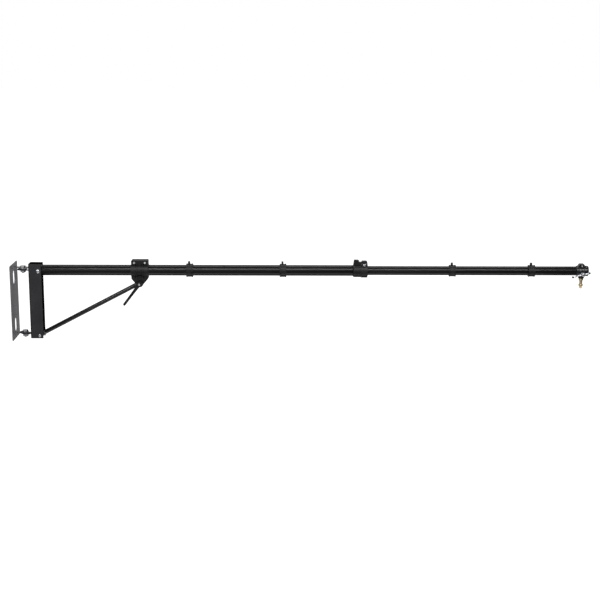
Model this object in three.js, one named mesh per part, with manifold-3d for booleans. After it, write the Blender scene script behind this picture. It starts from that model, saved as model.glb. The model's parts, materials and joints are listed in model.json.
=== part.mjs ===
// A wall-mounted telescopic boom arm, braced by a diagonal strut. Millimetres, +Z up.
// Origin: the centre of the wall plate's back face. +X runs away from the wall along the boom.
import * as THREE from "three";
import { mergeVertices } from "three/addons/utils/BufferGeometryUtils.js";
import Module from "manifold-3d";

// Clearances
const GAP = 0.3;
const SPLIT = 1;

// Wall plate and its two swivel tabs
const PLATE_WIDTH = 120;
const PLATE_HEIGHT = 269;
const PLATE_THICKNESS = 3;
const PLATE_CORNER = 5;
const SLOT_WIDTH = 30;
const SLOT_LENGTH = 50;
const SLOT_TO_PLATE_END = 24;
const TAB_WIDTH = 40;
const TAB_THICKNESS = 3;
const TAB_TO_PLATE_END = 14;
const SWIVEL_REACH = 36;
const SWIVEL_BOLT_RADIUS = 5;
const SWIVEL_HEX = 17;
const SWIVEL_HEAD_HEIGHT = 6.5;
const SWIVEL_NUT_HEIGHT = 8;
const SWIVEL_THREAD_END = 3;
const THRUST_WASHER_THICKNESS = 1.5;
const THRUST_WASHER_RADIUS = 13;

// Post: a folded channel, open towards the room
const POST_GAP_FROM_TABS = 2;
const POST_REACH = 45;
const POST_SIDE_CLEARANCE = 1.5;
const POST_WALL = 2.5;
const POST_FOLD_RADIUS = 4;
const POST_ABOVE_BOOM = 5.5;
const POST_BELOW_STRUT = 10;

// Pivots of the boom and of the strut in the post
const BOOM_PIVOT_FROM_POST_BACK = 34;
const BOOM_BELOW_PLATE_TOP = 23;
const STRUT_PIVOT_FROM_POST_BACK = 32;
const STRUT_ABOVE_PLATE_BOTTOM = 12;
const BOOM_BOLT_RADIUS = 4;
const BOOM_BOLT_HEAD_RADIUS = 7.5;
const STRUT_BOLT_RADIUS = 3;
const STRUT_BOLT_HEAD_RADIUS = 5.8;
const BOLT_HEAD_HEIGHT = 4.5;
const BOOM_NUT_HEX = 13;
const STRUT_NUT_HEX = 10;
const PIVOT_NUT_HEIGHT = 6;
const BOOM_SPACER_RADIUS = 12;
const STRUT_SPACER_RADIUS = 5;

// Telescopic tubes
const OUTER_RADIUS = 19;
const OUTER_WALL = 1.5;
const OUTER_LENGTH = 1148;
const OUTER_BUTT = 18;
const INNER_WALL = 1.6;
const INNER_LENGTH = 905;
const INNER_OVERLAP = 126;
const BUTT_PLUG_FLANGE = 3;
const BUTT_PLUG_DEPTH = 9;
const GLIDE_LENGTH = 40;
const GLIDE_WALL = 0.9;

// Lock collar at the mouth of the outer tube
const COLLAR_LENGTH = 51;
const COLLAR_WALL = 4.2;
const COLLAR_GRIP = 19;
const COLLAR_CHAMFER = 3;
const COLLAR_TOWER_RISE = 14.5;
const COLLAR_SADDLE_RISE = 7;
const COLLAR_EAR_RISE = 10.5;
const COLLAR_EAR_LENGTH = 20;
const COLLAR_SADDLE_LENGTH = 9;
const COLLAR_TOWER_HALF_WIDTH = 9;
const COLLAR_EAR_HALF_WIDTH = 12.5;
const COLLAR_SLIT = 2.5;
const BUSH_PROUD = 2;
const LOCK_BOLT_FROM_END = 11;
const LOCK_BOLT_ABOVE_TUBE = 4;
const LOCK_BOLT_RADIUS = 2.5;
const LOCK_BOLT_HEAD_RADIUS = 4.4;
const LOCK_BOLT_HEAD_HEIGHT = 4;
const LOCK_NUT_RADIUS = 3.8;
const LOCK_NUT_HEIGHT = 3;
const LOCK_PIN_RADIUS = 3.6;
const LOCK_HUB_RADIUS = 6.2;
const LOCK_HUB_CLEARANCE = 0.45;
const LOCK_LEVER_LENGTH = 23;
const LOCK_LEVER_THICKNESS = 3.6;
const LOCK_LEVER_GAP = 0.8;
const LOCK_LEVER_DROP_DEG = 52;

// Cable clips
const CLIP_WIDTH = 23;
const CLIP_THICKNESS = 3.8;
const CLIP_RIB = 1;
const CLIP_RIB_WIDTH = 4;
const CLIP_SLIT = 2;
const CLIP_TAB_LENGTH = 7;
const CLIP_TAB_WIDTH = 12;
const CLIP_TAB_HEIGHT = 8;
const CLIP_TAB_OFFSET = 2;
const CLIP_1_FROM_CLAMP = 176;
const CLIP_2_FROM_COLLAR = 247;
const CLIP_3_FROM_HEAD = 438;
const CLIP_4_FROM_HEAD = 158;

// Strut clamp, which slides on the outer tube
const CLAMP_FROM_PIVOT = 358;
const CLAMP_WIDTH = 59;
const CLAMP_WALL = 4.5;
const CLAMP_RIB = 1.2;
const CLAMP_RIB_WIDTH = 4;
const CLAMP_RIB_TO_SCREW = 8.5;
const CLAMP_LUG_THICKNESS = 8.4;
const CLAMP_EAR_RISE = 11.5;
const CLAMP_TAPER_CLEARANCE = 2.5;
const CLAMP_PIVOT_CLEARANCE = 19.5;
const CLAMP_EYE_CLEARANCE = 3;
const CLAMP_CHAMFER = 2;
const LINER_THICKNESS = 1.4;
const LINER_PROUD = 2;
const LINER_SLIT = 3;
const CLAMP_SCREW_TO_SIDE = 10.5;
const CLAMP_SCREW_CLEARANCE = 3.5;
const CLAMP_SCREW_RADIUS = 2.5;
const CLAMP_SCREW_HEAD_RADIUS = 4.2;
const CLAMP_RECESS_RADIUS = 5.4;
const CLAMP_RECESS_DEPTH = 3;
const CLAMP_NUT_HEX = 8;
const CLAMP_NUT_HEIGHT = 4;
const CLAMP_BOLT_RADIUS = 4;
const CLAMP_BOLT_HEX = 13;
const CLAMP_BOLT_HEAD_HEIGHT = 5.5;
const CLAMP_WASHER_RADIUS = 10.5;
const CLAMP_WASHER_THICKNESS = 1;

// Ratchet lever on the clamp bolt
const LEVER_HUB_RADIUS = 12.5;
const LEVER_HUB_TOP_RADIUS = 9.5;
const LEVER_HUB_LENGTH = 20;
const LEVER_ARM_LENGTH = 94;
const LEVER_ARM_THICKNESS = 8;
const LEVER_ARM_ROOT_WIDTH = 13;
const LEVER_ARM_TIP_WIDTH = 9;
const LEVER_ANGLE_DEG = 53;
const LEVER_BORE_DEPTH = 15;
const LEVER_SCREW_RADIUS = 4;
const LEVER_SCREW_HEIGHT = 2;

// Diagonal strut
const STRUT_RADIUS = 8;
const STRUT_WALL = 1.5;
const STRUT_UPPER_SETBACK = 16;
const STRUT_LOWER_SETBACK = 19;
const STRUT_PLUG_DEPTH = 16;
const STRUT_TONGUE_HALF_WIDTH = 6;
const STRUT_HOOK_WALL = 4.2;
const STRUT_HOOK_GAP = 0.7;
const STRUT_HOOK_LIP = 4;

// Head, locking screw and spigot at the far end
const HEAD_WALL = 2.5;
const HEAD_SOCKET_DEPTH = 8;
const HEAD_SOCKET_FLOOR = 3;
const HEAD_NOSE = 16;
const HEAD_TAIL_DEPTH = 30;
const HEAD_BUMP_RISE = 7;
const HEAD_BUMP_LENGTH = 15;
const HEAD_BUMP_WIDTH = 22;
const HEAD_BOSS_DROP = 7.5;
const HEAD_FRONT_BOSS_RADIUS = 8;
const HEAD_FRONT_BOSS_RISE = 2.5;
const HEAD_SCREW_RADIUS = 2;
const HEAD_SCREW_HEAD_RADIUS = 3.2;
const HEAD_SCREW_HEAD_HEIGHT = 2.5;
const HEAD_SCREW_CLEARANCE = 1.5;
const SPIGOT_RADIUS = 8;
const SPIGOT_WAIST_RADIUS = 5.5;
const SPIGOT_THREAD_RADIUS = 4.76;
const SPIGOT_HIDDEN_LENGTH = 36;
const SPIGOT_UPPER_FLANGE = 7;
const SPIGOT_WAIST_LENGTH = 15;
const SPIGOT_LOWER_FLANGE = 5;
const SPIGOT_THREAD_LENGTH = 9.5;
const LOCKING_SCREW_DROP = 6;
const LOCKING_SCREW_RADIUS = 4;
const LOCKING_HUB_RADIUS = 6.5;
const LOCKING_HUB_STANDOFF = 13;
const LOCKING_HUB_LENGTH = 12;
const TOMMY_RADIUS = 2.6;
const TOMMY_LENGTH = 56;
const TOMMY_OFFSET = 8;
const TOMMY_TILT_DEG = 14;
const TOMMY_CAP_RADIUS = 3.7;
const TOMMY_CAP_LENGTH = 5;

// Facets
const TUBE_SIDES = 28;
const BOLT_SIDES = 14;
const ARC_POINTS = 6;

// Places worked out from the sizes above
const TAB_HEIGHT = PLATE_HEIGHT / 2 - TAB_TO_PLATE_END - TAB_THICKNESS;
const POST_GAP_FROM_SWIVEL = TAB_WIDTH / 2 + POST_GAP_FROM_TABS;
const POST_INNER_HALF = OUTER_RADIUS + POST_SIDE_CLEARANCE;
const POST_WIDTH = 2 * (POST_INNER_HALF + POST_WALL);
const BOOM_PIVOT_X = SWIVEL_REACH + POST_GAP_FROM_SWIVEL + BOOM_PIVOT_FROM_POST_BACK;
const BOOM_HEIGHT = PLATE_HEIGHT / 2 - BOOM_BELOW_PLATE_TOP;
const STRUT_PIVOT_X = SWIVEL_REACH + POST_GAP_FROM_SWIVEL + STRUT_PIVOT_FROM_POST_BACK;
const STRUT_PIVOT_HEIGHT = STRUT_ABOVE_PLATE_BOTTOM - PLATE_HEIGHT / 2;
const POST_TOP = BOOM_HEIGHT + OUTER_RADIUS + POST_ABOVE_BOOM;
const POST_BOTTOM = STRUT_PIVOT_HEIGHT - POST_BELOW_STRUT;

const OUTER_END = OUTER_LENGTH - OUTER_BUTT;
const INNER_RADIUS = OUTER_RADIUS - OUTER_WALL - 2 * GAP - GLIDE_WALL;
const INNER_START = OUTER_END - INNER_OVERLAP;

const COLLAR_START = OUTER_END - COLLAR_GRIP;
const COLLAR_RADIUS = OUTER_RADIUS + GAP + COLLAR_WALL;
const COLLAR_TOWER_TOP = COLLAR_RADIUS + COLLAR_TOWER_RISE;
const COLLAR_SADDLE_TOP = COLLAR_RADIUS + COLLAR_SADDLE_RISE;
const COLLAR_EAR_TOP = COLLAR_RADIUS + COLLAR_EAR_RISE;
const COLLAR_EAR_START = COLLAR_LENGTH - COLLAR_EAR_LENGTH;
const COLLAR_TOWER_END = COLLAR_EAR_START - COLLAR_SADDLE_LENGTH;
const LOCK_BOLT_X = COLLAR_LENGTH - LOCK_BOLT_FROM_END;
const LOCK_BOLT_HEIGHT = OUTER_RADIUS + LOCK_BOLT_ABOVE_TUBE;
const LOCK_PIN_REACH = COLLAR_RADIUS + LOCK_HUB_RADIUS + LOCK_HUB_CLEARANCE;
const LOCK_PIN_Y = -Math.sqrt(LOCK_PIN_REACH ** 2 - LOCK_BOLT_HEIGHT ** 2);
const LOCK_LEVER_START = COLLAR_LENGTH - LOCK_LEVER_LENGTH;

const STRUT_EYE_RADIUS = STRUT_RADIUS + 1;
const LINER_OUTER = OUTER_RADIUS + GAP + LINER_THICKNESS;
const CLAMP_RADIUS = LINER_OUTER + GAP + CLAMP_WALL;
const CLAMP_EAR_TOP = CLAMP_RADIUS + CLAMP_EAR_RISE;
const CLAMP_SCREW_HEIGHT = CLAMP_RADIUS + CLAMP_SCREW_CLEARANCE;
const CLAMP_SCREW_OFFSET = CLAMP_WIDTH / 2 - CLAMP_SCREW_TO_SIDE;
const CLAMP_RIB_OFFSET = CLAMP_SCREW_OFFSET - CLAMP_RIB_TO_SCREW;
const CLAMP_TAPER_START = CLAMP_RADIUS + CLAMP_TAPER_CLEARANCE;
const CLAMP_PIVOT_DROP = CLAMP_RADIUS + CLAMP_PIVOT_CLEARANCE;
const CLAMP_LUG_RADIUS = STRUT_EYE_RADIUS + 3;
const CLAMP_FORK_ROOF = CLAMP_PIVOT_DROP - STRUT_EYE_RADIUS - CLAMP_EYE_CLEARANCE;
const CLAMP_FORK_HALF_GAP = STRUT_RADIUS + 2 * GAP;
const CLAMP_DEPTH = 2 * (CLAMP_FORK_HALF_GAP + CLAMP_LUG_THICKNESS);

const HEAD_RADIUS = INNER_RADIUS + HEAD_WALL;
const HEAD_FACE = INNER_START + INNER_LENGTH - HEAD_SOCKET_DEPTH;
const SPIGOT_FROM_HEAD_FACE = HEAD_SOCKET_DEPTH + SPIGOT_RADIUS + HEAD_SOCKET_FLOOR;
const HEAD_LENGTH = SPIGOT_FROM_HEAD_FACE + SPIGOT_RADIUS + HEAD_NOSE;
const HEAD_BUMP_TOP = HEAD_RADIUS + HEAD_BUMP_RISE;
const HEAD_BOSS_RADIUS = SPIGOT_RADIUS + HEAD_WALL;
const HEAD_BOSS_DEPTH = HEAD_RADIUS + HEAD_BOSS_DROP;
const HEAD_FRONT_BOSS_REACH = HEAD_RADIUS + HEAD_FRONT_BOSS_RISE;
const HEAD_SCREW_HEIGHT = HEAD_RADIUS + HEAD_SCREW_CLEARANCE;
const LOCKING_HUB_START = HEAD_FRONT_BOSS_REACH + LOCKING_HUB_STANDOFF;

const wasm = await Module();
wasm.setup();

// A closed three.js geometry as a solid that can be cut and joined.
function solidOf(geometry) {
  const bare = geometry.clone();
  bare.deleteAttribute("normal");
  bare.deleteAttribute("uv");
  const merged = mergeVertices(bare, 1e-4);
  const points = merged.attributes.position;
  const corner = (index) => new THREE.Vector3().fromBufferAttribute(points, index);
  const triangles = [];
  let volume = 0;
  for (let i = 0; i < merged.index.count; i += 3) {
    const [a, b, c] = merged.index.array.slice(i, i + 3);
    if (a !== b && b !== c && c !== a) {
      triangles.push([a, b, c]);
      volume += corner(a).dot(corner(b).cross(corner(c)));
    }
  }
  const outward = volume > 0 ? triangles : triangles.map(([a, b, c]) => [a, c, b]);
  return new wasm.Manifold(new wasm.Mesh({
    numProp: 3,
    vertProperties: new Float32Array(points.array),
    triVerts: new Uint32Array(outward.flat()),
  }));
}

function geometryOf(solid) {
  const mesh = solid.getMesh();
  const geometry = new THREE.BufferGeometry();
  geometry.setAttribute("position", new THREE.BufferAttribute(mesh.vertProperties, 3));
  geometry.setIndex(new THREE.BufferAttribute(mesh.triVerts, 1));
  geometry.computeVertexNormals();
  return geometry;
}

// Turns that lay a geometry's +Y (lathes, cylinders) or +Z (extrusions) along an axis.
const LATHE_TURN = {
  x: new THREE.Matrix4().makeRotationZ(-Math.PI / 2),
  y: new THREE.Matrix4(),
  z: new THREE.Matrix4().makeRotationX(Math.PI / 2),
};
const axis = {
  x: new THREE.Vector3(1, 0, 0),
  y: new THREE.Vector3(0, 1, 0),
  z: new THREE.Vector3(0, 0, 1),
};
const EXTRUDE_TURN = {
  x: new THREE.Matrix4().makeBasis(axis.y, axis.z, axis.x),
  y: new THREE.Matrix4().makeBasis(axis.z, axis.x, axis.y),
  z: new THREE.Matrix4(),
};

function lathe(along, profile, sides = BOLT_SIDES) {
  const points = profile.map(([radius, height]) => new THREE.Vector2(radius, height));
  return solidOf(new THREE.LatheGeometry(points, sides).applyMatrix4(LATHE_TURN[along]));
}

function rod(along, radius, from, to, sides = BOLT_SIDES) {
  return lathe(along, [[0, from], [radius, from], [radius, to], [0, to]], sides);
}

function ring(along, outer, inner, from, to, sides = TUBE_SIDES) {
  const profile = [[inner, from], [outer, from], [outer, to], [inner, to], [inner, from]];
  return lathe(along, profile, sides);
}

function block(x0, x1, y0, y1, z0, z1) {
  const box = new THREE.BoxGeometry(x1 - x0, y1 - y0, z1 - z0);
  return solidOf(box.translate((x0 + x1) / 2, (y0 + y1) / 2, (z0 + z1) / 2));
}

// An outline drawn in the plane across an axis: y,z for x; z,x for y; x,y for z.
function extrusion(along, outline, from, to) {
  const settings = { depth: to - from, bevelEnabled: false, curveSegments: ARC_POINTS };
  const geometry = new THREE.ExtrudeGeometry(outline, settings).translate(0, 0, from);
  return solidOf(geometry.applyMatrix4(EXTRUDE_TURN[along]));
}

function outlineOf(points) {
  return new THREE.Shape(points.map(([u, v]) => new THREE.Vector2(u, v)));
}

function roundedRectangle(halfWidth, halfHeight, radius) {
  const shape = new THREE.Shape();
  const turn = Math.PI / 2;
  shape.absarc(halfWidth - radius, halfHeight - radius, radius, 0, turn);
  shape.absarc(radius - halfWidth, halfHeight - radius, radius, turn, 2 * turn);
  shape.absarc(radius - halfWidth, radius - halfHeight, radius, 2 * turn, 3 * turn);
  shape.absarc(halfWidth - radius, radius - halfHeight, radius, 3 * turn, 4 * turn);
  shape.closePath();
  return shape;
}

function hexagon(along, acrossFlats, from, to) {
  return rod(along, acrossFlats / Math.sqrt(3), from, to, 6);
}

function finish(colour, roughness, metalness) {
  return new THREE.MeshStandardMaterial({ color: colour, roughness, metalness });
}
const powderCoat = () => finish("#2e2e31", 0.6, 0.1);
const greyCoat = () => finish("#5c5c5e", 0.6, 0.1);
const blackTube = () => finish("#1b1b1e", 0.35, 0.4);
const mouldedBlack = () => finish("#232325", 0.5, 0);
const zinc = () => finish("#c4c7cc", 0.3, 1);
const brass = () => finish("#bda873", 0.3, 1);
const nylon = () => finish("#3a3a3c", 0.55, 0);

function mesh(name, solid, material) {
  const part = new THREE.Mesh(geometryOf(solid), material);
  part.name = name;
  return part;
}

function group(x, y, z, children) {
  const holder = new THREE.Group();
  holder.position.set(x, y, z);
  holder.add(...children);
  return holder;
}

// --- Wall plate and swivels ---

// A flat tab whose round end is centred on the vertical swivel axis.
function tab(rootX, swivelX, bottom) {
  const half = TAB_WIDTH / 2;
  const side = Math.sign(swivelX - rootX);
  const outline = new THREE.Shape();
  outline.moveTo(rootX, -side * half);
  outline.absarc(swivelX, 0, half, -side * Math.PI / 2, side * Math.PI / 2);
  outline.lineTo(rootX, side * half);
  outline.closePath();
  const hole = new THREE.Path();
  hole.absarc(swivelX, 0, SWIVEL_BOLT_RADIUS + GAP, 0, 2 * Math.PI);
  outline.holes.push(hole);
  return extrusion("z", outline, bottom, bottom + TAB_THICKNESS);
}

function wallPlate() {
  const outline = roundedRectangle(PLATE_WIDTH / 2, PLATE_HEIGHT / 2, PLATE_CORNER);
  const radius = SLOT_WIDTH / 2;
  for (const side of [-1, 1]) {
    const far = side * (PLATE_HEIGHT / 2 - SLOT_TO_PLATE_END - radius);
    const near = far - side * (SLOT_LENGTH - SLOT_WIDTH);
    const slot = new THREE.Path();
    slot.absarc(0, Math.max(far, near), radius, 0, Math.PI);
    slot.absarc(0, Math.min(far, near), radius, Math.PI, 2 * Math.PI);
    slot.closePath();
    outline.holes.push(slot);
  }
  const root = PLATE_THICKNESS / 2;
  return extrusion("x", outline, 0, PLATE_THICKNESS)
    .add(tab(root, SWIVEL_REACH, TAB_HEIGHT))
    .add(tab(root, SWIVEL_REACH, -TAB_HEIGHT - TAB_THICKNESS));
}

// The bolt, nut and thrust washer of one swivel; each post tab lies inside its wall tab.
function swivelSet(name, side) {
  const wallFace = side * TAB_HEIGHT;
  const washerFace = wallFace - side * GAP;
  const washerEnd = washerFace - side * THRUST_WASHER_THICKNESS;
  const outside = wallFace + side * TAB_THICKNESS;
  const inside = washerEnd - side * (GAP + TAB_THICKNESS);
  const top = Math.max(outside, inside) + GAP;
  const bottom = Math.min(outside, inside) - GAP;
  const bore = SWIVEL_BOLT_RADIUS + GAP;
  const end = bottom - SWIVEL_NUT_HEIGHT - SWIVEL_THREAD_END;
  const bolt = hexagon("z", SWIVEL_HEX, top, top + SWIVEL_HEAD_HEIGHT)
    .add(rod("z", SWIVEL_BOLT_RADIUS, end, top + 1));
  const nut = hexagon("z", SWIVEL_HEX, bottom - SWIVEL_NUT_HEIGHT, bottom)
    .subtract(rod("z", bore, end - 1, bottom + 1));
  const low = Math.min(washerFace, washerEnd);
  const high = Math.max(washerFace, washerEnd);
  const washer = ring("z", THRUST_WASHER_RADIUS, bore, low, high, BOLT_SIDES);
  return [
    mesh(`${name}_swivel_bolt`, bolt, zinc()),
    mesh(`${name}_swivel_nut`, nut, zinc()),
    mesh(`${name}_thrust_washer`, washer, nylon()),
  ];
}

// --- Post ---

function channelOutline() {
  const back = POST_GAP_FROM_SWIVEL;
  const front = back + POST_REACH;
  const half = POST_WIDTH / 2;
  const bend = POST_FOLD_RADIUS;
  const inside = Math.max(bend - POST_WALL, 0.5);
  const outline = new THREE.Shape();
  outline.moveTo(front, half);
  outline.absarc(back + bend, half - bend, bend, Math.PI / 2, Math.PI);
  outline.absarc(back + bend, bend - half, bend, Math.PI, 1.5 * Math.PI);
  outline.lineTo(front, -half);
  outline.lineTo(front, -POST_INNER_HALF);
  const centre = back + POST_WALL + inside;
  outline.absarc(centre, inside - POST_INNER_HALF, inside, 1.5 * Math.PI, Math.PI, true);
  outline.absarc(centre, POST_INNER_HALF - inside, inside, Math.PI, Math.PI / 2, true);
  outline.lineTo(front, POST_INNER_HALF);
  outline.closePath();
  return outline;
}

function postChannel() {
  const root = POST_GAP_FROM_SWIVEL + POST_WALL / 2;
  const tabTop = TAB_HEIGHT - THRUST_WASHER_THICKNESS - 2 * GAP;
  const half = POST_WIDTH / 2 + 1;
  const boomHole = rod("y", BOOM_BOLT_RADIUS + GAP, -half, half)
    .translate(BOOM_PIVOT_X - SWIVEL_REACH, 0, BOOM_HEIGHT);
  const strutHole = rod("y", STRUT_BOLT_RADIUS + GAP, -half, half)
    .translate(STRUT_PIVOT_X - SWIVEL_REACH, 0, STRUT_PIVOT_HEIGHT);
  return extrusion("z", channelOutline(), POST_BOTTOM, POST_TOP)
    .add(tab(root, 0, tabTop - TAB_THICKNESS))
    .add(tab(root, 0, -tabTop))
    .subtract(boomHole)
    .subtract(strutHole);
}

// A domed bolt through both walls of the post, its head on the -Y side.
function crossBolt(radius, headRadius) {
  const face = -POST_WIDTH / 2 - GAP;
  const end = POST_WIDTH / 2 + PIVOT_NUT_HEIGHT + SWIVEL_THREAD_END;
  return lathe("y", [
    [0, face - BOLT_HEAD_HEIGHT],
    [headRadius * 0.55, face - BOLT_HEAD_HEIGHT * 0.9],
    [headRadius * 0.9, face - BOLT_HEAD_HEIGHT * 0.5],
    [headRadius, face],
    [radius, face],
    [radius, end],
    [0, end],
  ], BOLT_SIDES);
}

function crossNut(radius, acrossFlats) {
  const face = POST_WIDTH / 2 + GAP;
  return hexagon("y", acrossFlats, face, face + PIVOT_NUT_HEIGHT)
    .subtract(rod("y", radius + GAP, face - 1, face + PIVOT_NUT_HEIGHT + 1));
}

function mirroredPair(name, solid, material) {
  return [
    mesh(`${name}_front`, solid.mirror([0, 1, 0]), material()),
    mesh(`${name}_rear`, solid, material()),
  ];
}

function strutSpacer() {
  const from = STRUT_TONGUE_HALF_WIDTH + GAP;
  const to = POST_INNER_HALF - GAP;
  return ring("y", STRUT_SPACER_RADIUS, STRUT_BOLT_RADIUS + GAP, from, to, BOLT_SIDES);
}

function boomSpacer() {
  const from = OUTER_RADIUS + GAP;
  const to = POST_INNER_HALF - GAP;
  return ring("y", BOOM_SPACER_RADIUS, BOOM_BOLT_RADIUS + GAP, from, to, BOLT_SIDES);
}

function postParts() {
  const boomX = BOOM_PIVOT_X - SWIVEL_REACH;
  const strutX = STRUT_PIVOT_X - SWIVEL_REACH;
  const boomBolt = crossBolt(BOOM_BOLT_RADIUS, BOOM_BOLT_HEAD_RADIUS);
  const strutBolt = crossBolt(STRUT_BOLT_RADIUS, STRUT_BOLT_HEAD_RADIUS);
  return [
    mesh("post_channel", postChannel(), powderCoat()),
    group(boomX, 0, BOOM_HEIGHT, [
      mesh("boom_pivot_bolt", boomBolt, zinc()),
      mesh("boom_pivot_nut", crossNut(BOOM_BOLT_RADIUS, BOOM_NUT_HEX), zinc()),
    ]),
    group(strutX, 0, STRUT_PIVOT_HEIGHT, [
      mesh("strut_pivot_bolt", strutBolt, zinc()),
      mesh("strut_pivot_nut", crossNut(STRUT_BOLT_RADIUS, STRUT_NUT_HEX), zinc()),
      ...mirroredPair("strut_spacer", strutSpacer(), nylon),
    ]),
  ];
}

// --- Tubes ---

function outerTube() {
  const bolt = rod("y", BOOM_BOLT_RADIUS + GAP, -OUTER_RADIUS - 1, OUTER_RADIUS + 1);
  const bore = OUTER_RADIUS - OUTER_WALL;
  return ring("x", OUTER_RADIUS, bore, -OUTER_BUTT, OUTER_END).subtract(bolt);
}

function buttPlug() {
  const face = -OUTER_BUTT - GAP;
  const core = OUTER_RADIUS - OUTER_WALL - GAP;
  return lathe("x", [
    [0, face - BUTT_PLUG_FLANGE],
    [OUTER_RADIUS - 1, face - BUTT_PLUG_FLANGE],
    [OUTER_RADIUS, face - BUTT_PLUG_FLANGE + 1],
    [OUTER_RADIUS, face],
    [core, face],
    [core, face + BUTT_PLUG_DEPTH],
    [0, face + BUTT_PLUG_DEPTH],
  ], TUBE_SIDES);
}

function innerTube() {
  const bore = INNER_RADIUS - INNER_WALL;
  return ring("x", INNER_RADIUS, bore, INNER_START, INNER_START + INNER_LENGTH);
}

function innerGlide() {
  const outer = OUTER_RADIUS - OUTER_WALL - GAP;
  return ring("x", outer, INNER_RADIUS + GAP, INNER_START, INNER_START + GLIDE_LENGTH);
}

// --- Lock collar ---

function collarBody() {
  const inset = COLLAR_RADIUS - COLLAR_CHAMFER;
  const bore = OUTER_RADIUS + GAP;
  const barrel = lathe("x", [
    [bore, 0],
    [inset, 0],
    [COLLAR_RADIUS, COLLAR_CHAMFER],
    [COLLAR_RADIUS, COLLAR_LENGTH - COLLAR_CHAMFER],
    [inset, COLLAR_LENGTH],
    [bore, COLLAR_LENGTH],
    [bore, 0],
  ], TUBE_SIDES);
  const tower = extrusion("y", outlineOf([
    [bore, 1.5],
    [COLLAR_TOWER_TOP, 3.5],
    [COLLAR_TOWER_TOP, COLLAR_TOWER_END - 1],
    [COLLAR_SADDLE_TOP, COLLAR_TOWER_END + 1],
    [COLLAR_SADDLE_TOP, COLLAR_EAR_START + 1],
    [bore, COLLAR_EAR_START + 1],
  ]), -COLLAR_TOWER_HALF_WIDTH, COLLAR_TOWER_HALF_WIDTH);
  const ears = extrusion("y", outlineOf([
    [bore - 4, COLLAR_EAR_START],
    [COLLAR_EAR_TOP, COLLAR_EAR_START],
    [COLLAR_EAR_TOP, COLLAR_LENGTH - 3],
    [COLLAR_EAR_TOP - 3, COLLAR_LENGTH],
    [bore - 4, COLLAR_LENGTH],
  ]), -COLLAR_EAR_HALF_WIDTH, COLLAR_EAR_HALF_WIDTH);
  const slitHalf = COLLAR_SLIT / 2;
  const slitStart = COLLAR_EAR_START - 2;
  const slit = block(slitStart, COLLAR_LENGTH + 1, -slitHalf, slitHalf, 0, COLLAR_EAR_TOP + 1);
  const boltHole = rod("y", LOCK_BOLT_RADIUS + GAP, -COLLAR_RADIUS, COLLAR_RADIUS)
    .translate(LOCK_BOLT_X, 0, LOCK_BOLT_HEIGHT);
  const headSeatRadius = LOCK_BOLT_HEAD_RADIUS + GAP;
  const headSeat = rod("y", headSeatRadius, COLLAR_EAR_HALF_WIDTH, 2 * COLLAR_RADIUS)
    .translate(LOCK_BOLT_X, 0, LOCK_BOLT_HEIGHT);
  return barrel
    .add(tower)
    .add(ears)
    .subtract(rod("x", bore, -1, COLLAR_LENGTH + 1, TUBE_SIDES))
    .subtract(slit)
    .subtract(boltHole)
    .subtract(headSeat);
}

function lockPin() {
  return rod("x", LOCK_PIN_RADIUS, LOCK_LEVER_START, COLLAR_LENGTH)
    .translate(0, LOCK_PIN_Y, LOCK_BOLT_HEIGHT)
    .subtract(rod("y", LOCK_BOLT_RADIUS + GAP, -2 * COLLAR_RADIUS, 0)
      .translate(LOCK_BOLT_X, 0, LOCK_BOLT_HEIGHT));
}

function lockBolt() {
  const head = COLLAR_EAR_HALF_WIDTH + GAP;
  const end = LOCK_PIN_Y - LOCK_PIN_RADIUS - GAP - LOCK_NUT_HEIGHT - 0.5;
  return rod("y", LOCK_BOLT_HEAD_RADIUS, head, head + LOCK_BOLT_HEAD_HEIGHT)
    .add(rod("y", LOCK_BOLT_RADIUS, end, head + 1))
    .translate(LOCK_BOLT_X, 0, LOCK_BOLT_HEIGHT);
}

function lockNut() {
  const face = LOCK_PIN_Y - LOCK_PIN_RADIUS - GAP;
  const bore = LOCK_BOLT_RADIUS + GAP;
  return ring("y", LOCK_NUT_RADIUS, bore, face - LOCK_NUT_HEIGHT, face, BOLT_SIDES)
    .translate(LOCK_BOLT_X, 0, LOCK_BOLT_HEIGHT);
}

// A curved cam lever that hangs from its pin and wraps the front of the collar.
function lockLever() {
  const inner = COLLAR_RADIUS + LOCK_LEVER_GAP;
  const outer = inner + LOCK_LEVER_THICKNESS;
  const top = Math.atan2(LOCK_BOLT_HEIGHT, -LOCK_PIN_Y);
  const drop = THREE.MathUtils.degToRad(LOCK_LEVER_DROP_DEG);
  const outline = new THREE.Shape();
  outline.absarc(0, 0, outer, Math.PI - top * 0.9, Math.PI + drop);
  outline.absarc(0, 0, inner, Math.PI + drop, Math.PI - top * 0.9, true);
  outline.closePath();
  const shell = extrusion("x", outline, LOCK_LEVER_START, COLLAR_LENGTH);
  const hub = rod("x", LOCK_HUB_RADIUS, LOCK_LEVER_START, COLLAR_LENGTH)
    .translate(0, LOCK_PIN_Y, LOCK_BOLT_HEIGHT);
  const bore = rod("x", LOCK_PIN_RADIUS + GAP, 0, 2 * COLLAR_LENGTH)
    .translate(0, LOCK_PIN_Y, LOCK_BOLT_HEIGHT);
  const nutReach = Math.hypot(LOCK_PIN_RADIUS + GAP + LOCK_NUT_HEIGHT + 1, LOCK_NUT_RADIUS);
  const notchHalf = LOCK_NUT_RADIUS + 2 * GAP;
  const notch = rod("x", nutReach + GAP, LOCK_BOLT_X - notchHalf, LOCK_BOLT_X + notchHalf)
    .translate(0, LOCK_PIN_Y, LOCK_BOLT_HEIGHT);
  return shell.add(hub).subtract(bore).subtract(notch);
}

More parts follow.
